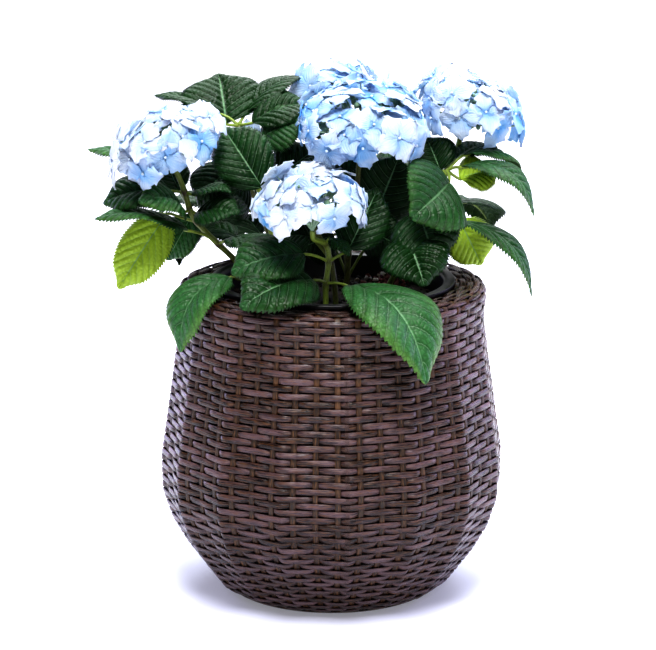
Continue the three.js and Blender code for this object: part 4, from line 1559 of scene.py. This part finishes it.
# The centre, back, back_left and shoot_front stems get a low stem tone as painted shade, and each leaf's
# Shade is its painted light and shade.
STEMS = (
    LeafyStem("front", ((-6, -90, 300), (-7, -87, 350), (-7, -85, 379), (-4, -82, 403), (-7, -83, 424)), (
        Leaf(3, (-31, -97, 415), (-112, -122, 399), 74, 8, TILTED),
        Leaf(2, (-21, -106, 387), (-100, -170, 370), 80, 12, TILTED),
        Leaf(3, (18, -80, 416), (52, -52, 482), 58, -6, FRONT),
        Leaf(2, (19, -100, 379), (103, -196, 292), 100, 34, shade=Shade.LIGHT),
        Leaf(4, (-3, -89, 431), (19, -102, 414), 28, 3),
    ), HEADS["front"]),
    LeafyStem("left", (
        (-68, -12, 300), (-80, -13, 352), (-109, -15, 388), (-130, -20, 410), (-154, -26, 437),
        (-162, -28, 452), (-167, -30, 472)), (
        Leaf(1, (-115, -54, 379), (-171, -99, 303), 62, 31, (-0.5, -0.6, 0.6), Shade.FRESH),
        Leaf(3, (-119, -32, 417), (-55, -72, 402), 62, 9),
        Leaf(3, (-163, -42, 430), (-267, -62, 448), 62, 10, shade=Shade.LIGHT),
        Leaf(5, (-170, -38, 449), (-216, -78, 470), 60, 14, TILTED, Shade.LIGHT),
        Leaf(5, (-154, -38, 449), (-104, -64, 455), 50, 6, TILTED, Shade.DARK),
        Leaf(4, (-189, -8, 443), (-245, -22, 358), 54, 8, FRONT, Shade.LIME),
        Leaf(4, (-160, 4, 440), (-190, 12, 384), 40, 6, FRONT, Shade.LIGHT),
        Leaf(3, (-148, 14, 420), (-178, 30, 374), 42, 6, shade=Shade.DARK),
        Leaf(6, (-186, -26, 473), (-260, -28, 459), 58, 8, TILTED),
        Leaf(5, (-178, 34, 480), (-283, 56, 506), 52, 6, shade=Shade.LIGHT),
        Leaf(6, (-157, -34, 470), (-113, -50, 476), 50, 5, shade=Shade.DARK),
        Leaf(5, (-174, 4, 466), (-192, 30, 496), 38, 4, FRONT, Shade.DARK),
    ), HEADS["left"], youth_and_light=0.5),
    LeafyStem("centre", ((14, 14, 300), (16, 14, 350), (22, 10, 420), (29, 2, 476)), (
        Leaf(2, (48, 0, 436), (76, -4, 508), 82, -6, FRONT, Shade.DARK),
        Leaf(3, (4, 2, 472), (-44, -8, 496), 50, 6, TILTED, Shade.DARK),
        Leaf(2, (2, 22, 412), (-38, 30, 394), 52, 4, FRONT, Shade.DARK),
        Leaf(3, (36, 28, 466), (0, 54, 488), 54, 4, FRONT, Shade.DARK),
        Leaf(2, (40, -18, 426), (78, -42, 412), 50, 5, FRONT, Shade.DARK),
    ), HEADS["centre"], youth_and_light=0.25),
    LeafyStem("right", ((58, 10, 300), (64, 10, 350), (92, 6, 405), (118, 4, 455), (131, 8, 490)), (
        Leaf(2, (84, -54, 424), (103, -106, 380), 76, 8, (0, -1, 0.9), Shade.DARK),
        Leaf(4, (132, -28, 483), (88, -96, 456), 92, 12, (0.6, -0.6, 0.55)),
        Leaf(3, (98, -34, 450), (116, -80, 402), 78, 8, FRONT),
        Leaf(4, (146, -15, 498), (229, -36, 447), 66, 24, shade=Shade.LIGHT),
        Leaf(4, (150, 16, 506), (220, 36, 478), 60, 14, shade=Shade.LIGHT),
        Leaf(4, (142, 24, 500), (188, 64, 508), 48, 6),
        Leaf(4, (146, 8, 480), (188, 22, 484), 56, 5, TILTED, Shade.LIME),
        Leaf(3, (146, 14, 432), (173, 24, 376), 54, 4, FRONT, Shade.LIME),
        Leaf(3, (144, -12, 434), (228, -32, 352), 50, 24, (0.6, -0.2, 0.8), Shade.LIGHT),
        Leaf(2, (124, 44, 400), (160, 76, 378), 46, 8),
        Leaf(3, (136, 50, 440), (188, 112, 402), 76, 16),
        Leaf(4, (124, 6, 490), (108, 22, 526), 50, 3, FRONT, Shade.DARK),
    ), HEADS["right"]),
    LeafyStem("back", ((18, 66, 300), (18, 72, 350), (14, 88, 430), (13, 102, 496)), (
        Leaf(1, (58, 108, 402), (122, 168, 378), 79, 22),
        Leaf(1, (-10, 118, 402), (-40, 200, 366), 84, 26),
        Leaf(2, (52, 118, 462), (118, 168, 470), 78, 12),
        Leaf(2, (-8, 124, 458), (-34, 206, 452), 80, 12),
        Leaf(3, (30, 126, 510), (56, 196, 516), 72, 10, shade=Shade.LIGHT),
        Leaf(3, (-14, 110, 509), (-62, 152, 522), 66, 8),
    ), HEADS["back"], youth_and_light=0.25),
    LeafyStem("back_left", ((-58, 68, 300), (-62, 74, 350), (-88, 97, 436)), (
        Leaf(1, (-84, 112, 392), (-122, 168, 366), 80, 26),
        Leaf(2, (-124, 100, 430), (-206, 128, 418), 80, 12),
        Leaf(2, (-92, 132, 436), (-104, 206, 430), 78, 12),
        Leaf(1, (-112, 78, 396), (-176, 104, 380), 74, 16),
    ), HEADS["back_left"], youth_and_light=0.25),
    LeafyStem("shoot_left", (
        (-48, 24, 300), (-54, 28, 350), (-76, 36, 430), (-98, 42, 505), (-108, 44, 536)), (
        Leaf(4, (-122, 46, 537), (-133, 104, 587), 94, 4, (0, -0.4, 1)),
        Leaf(4, (-130, 52, 548), (-206, 76, 566), 42, 6),
        Leaf(4, (-100, 56, 548), (-33, 98, 585), 48, 10),
        Leaf(4, (-92, 38, 540), (-22, 54, 556), 56, 12, TILTED, Shade.DARK),
        Leaf(3, (-82, 26, 524), (-30, 20, 544), 60, 6, (0, -0.9, 1)),
        Leaf(3, (-80, 40, 512), (-44, 34, 508), 40, 5, shade=Shade.DARK),
        Leaf(3, (-114, 12, 492), (-152, -8, 452), 62, 8, TILTED, Shade.DARK),
        Leaf(2, (-96, 12, 442), (-126, 0, 470), 60, 6, TILTED, Shade.DARK),
        Leaf(2, (-64, 18, 474), (-14, 44, 510), 60, 6, (0, -0.9, 1), Shade.DARK),
    )),
    LeafyStem("shoot_front", (
        (6, -70, 300), (4, -68, 350), (-2, -60, 400), (-28, -46, 442), (-58, -36, 466)), (
        Leaf(4, (-79, -32, 478), (-124, 4, 540), 66, 10, FRONT),
        Leaf(3, (-38, -31, 448), (-6, -22, 460), 36, 5, shade=Shade.DARK),
        Leaf(2, (-24, -52, 424), (-62, -50, 420), 50, 6, TILTED, Shade.DARK),
    ), youth_and_light=0.3),
)


# Studio


def set_before(thing: bpy.types.Object, place: Point, aim: Point) -> None:
    """Sets a camera or a light at a place, turned to face another."""
    thing.location = place
    thing.rotation_euler = (Vector(aim) - Vector(place)).to_track_quat("-Z", "Y").to_euler()


@dataclass(frozen=True)
class SoftLight:
    """A rectangular light that faces the plant: its place, width and height in metres, and watts."""

    name: str
    place: Point
    size: tuple[float, float]
    power: float
    colour: Point

    def build(self, aim: Point) -> None:
        """Hangs the light.

        Args:
            aim: The place that it faces.
        """
        data = bpy.data.lights.new(self.name, "AREA")
        data.shape = "RECTANGLE"
        data.size, data.size_y = self.size
        data.energy = self.power
        data.color = self.colour
        set_before(place_object(self.name, data), self.place, aim)


@dataclass
class Studio:
    """The pale floor, the soft light and the camera."""

    eye: Point = (0.0, -3.3, 1.114)
    aim: Point = (-0.0048, 0.0, 0.310)
    lens: float = 161.2
    sensor: float = 36
    floor_half: float = 3.8
    plant_middle: Point = (0, 0, 0.4)
    lights: tuple[SoftLight, ...] = (
        SoftLight("key", (0.0, -1.5, 3.0), (1.1, 1.1), 92, (1.0, 0.99, 0.98)),
        SoftLight("front_fill", (0.7, -3.4, 1.7), (2.0, 1.4), 13, (0.96, 0.97, 1.0)),
        SoftLight("back_light", (0.4, 1.6, 2.8), (3.2, 2.2), 115, (0.92, 0.96, 1.0)),
        SoftLight("left_side", (-2.1, 1.9, 0.8), (1.0, 2.2), 28, (0.6, 0.56, 1.0)),
        SoftLight("right_side", (2.3, 1.1, 0.8), (1.0, 2.2), 27, (0.6, 0.56, 1.0)))

    def camera(self) -> None:
        """Sets the camera at the height of a person who stands before the plant."""
        data = bpy.data.cameras.new("front_camera")
        data.lens = self.lens
        data.sensor_width = self.sensor
        camera = place_object("front_camera", data)
        set_before(camera, self.eye, self.aim)
        bpy.context.scene.camera = camera

    def floor(self) -> None:
        """Lays the pale floor, which glows faintly, with painted shade near the planter: darker, bluer and
        glowing less there.
        """
        deselect_all()
        bpy.ops.mesh.primitive_plane_add(size=2 * self.floor_half, location=(0, 0, 0))
        floor = bpy.context.object
        floor.name = "studio_floor"
        made = Nodes("pale_floor")
        place = made.place()
        away = made.node("ShaderNodeVectorMath", {0: place}, operation="LENGTH").outputs["Value"]
        cloud = made.span(made.noise(place, 2.5, 2), 0.3, 0.7)
        colour = made.mix(cloud, (0.85, 0.845, 0.92, 1), (0.89, 0.885, 0.95, 1))
        # Painted shade: darker and bluer near the planter.
        colour = made.mix(made.span(away, 0.16, 0.48), (0.63, 0.65, 0.82, 1), colour)
        # Painted light: the floor glows, less near the planter.
        floor.data.materials.append(made.finish({
            "Base Color": colour, "Roughness": 0.7, "Emission Color": (0.95, 0.945, 1.0, 1),
            "Emission Strength": made.span(away, 0.15, 0.6, 0.2, 0.32)}))

    def surround(self) -> None:
        """Lights all round, faintly in front and more behind, and shows as plain white."""
        world = bpy.data.worlds.new("bright_surround")
        world.use_nodes = True
        tree = world.node_tree
        background = tree.nodes["Background"]
        way, parts, fall, path, strength = (tree.nodes.new(f"ShaderNode{kind}") for kind in (
            "TexCoord", "SeparateXYZ", "MapRange", "LightPath", "Math"))
        strength.operation = "MAXIMUM"
        for name, value in (("From Min", -0.6), ("From Max", 0.8), ("To Min", 0.04), ("To Max", 0.5)):
            fall.inputs[name].default_value = value
        for output, target in (
                (way.outputs["Generated"], parts.inputs[0]), (parts.outputs[1], fall.inputs["Value"]),
                (fall.outputs[0], strength.inputs[0]), (path.outputs["Is Camera Ray"], strength.inputs[1]),
                (strength.outputs[0], background.inputs["Strength"])):
            tree.links.new(output, target)
        background.inputs["Color"].default_value = (0.98, 0.985, 1.0, 1)
        bpy.context.scene.world = world

    def build(self) -> None:
        """Sets up the whole studio."""
        self.camera()
        self.floor()
        self.surround()
        bpy.context.scene.view_settings.view_transform = "Standard"
        bpy.context.scene.view_settings.look = "High Contrast"
        for light in self.lights:
            light.build(self.plant_middle)


def main() -> None:
    """Builds and dresses every piece in order, and reports it."""
    logging.basicConfig(level=logging.INFO, format="%(name)s: %(message)s")
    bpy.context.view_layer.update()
    palette = Palette()
    Studio().build()
    WovenPlanter(palette).build()
    HangingFrame(palette).build()
    Filling(palette).build()
    maker = LeafMaker()
    for stem in STEMS:
        stem.build(maker, palette)
    for head in HEADS.values():
        head.build(palette)


if __name__ == "__main__":
    main()
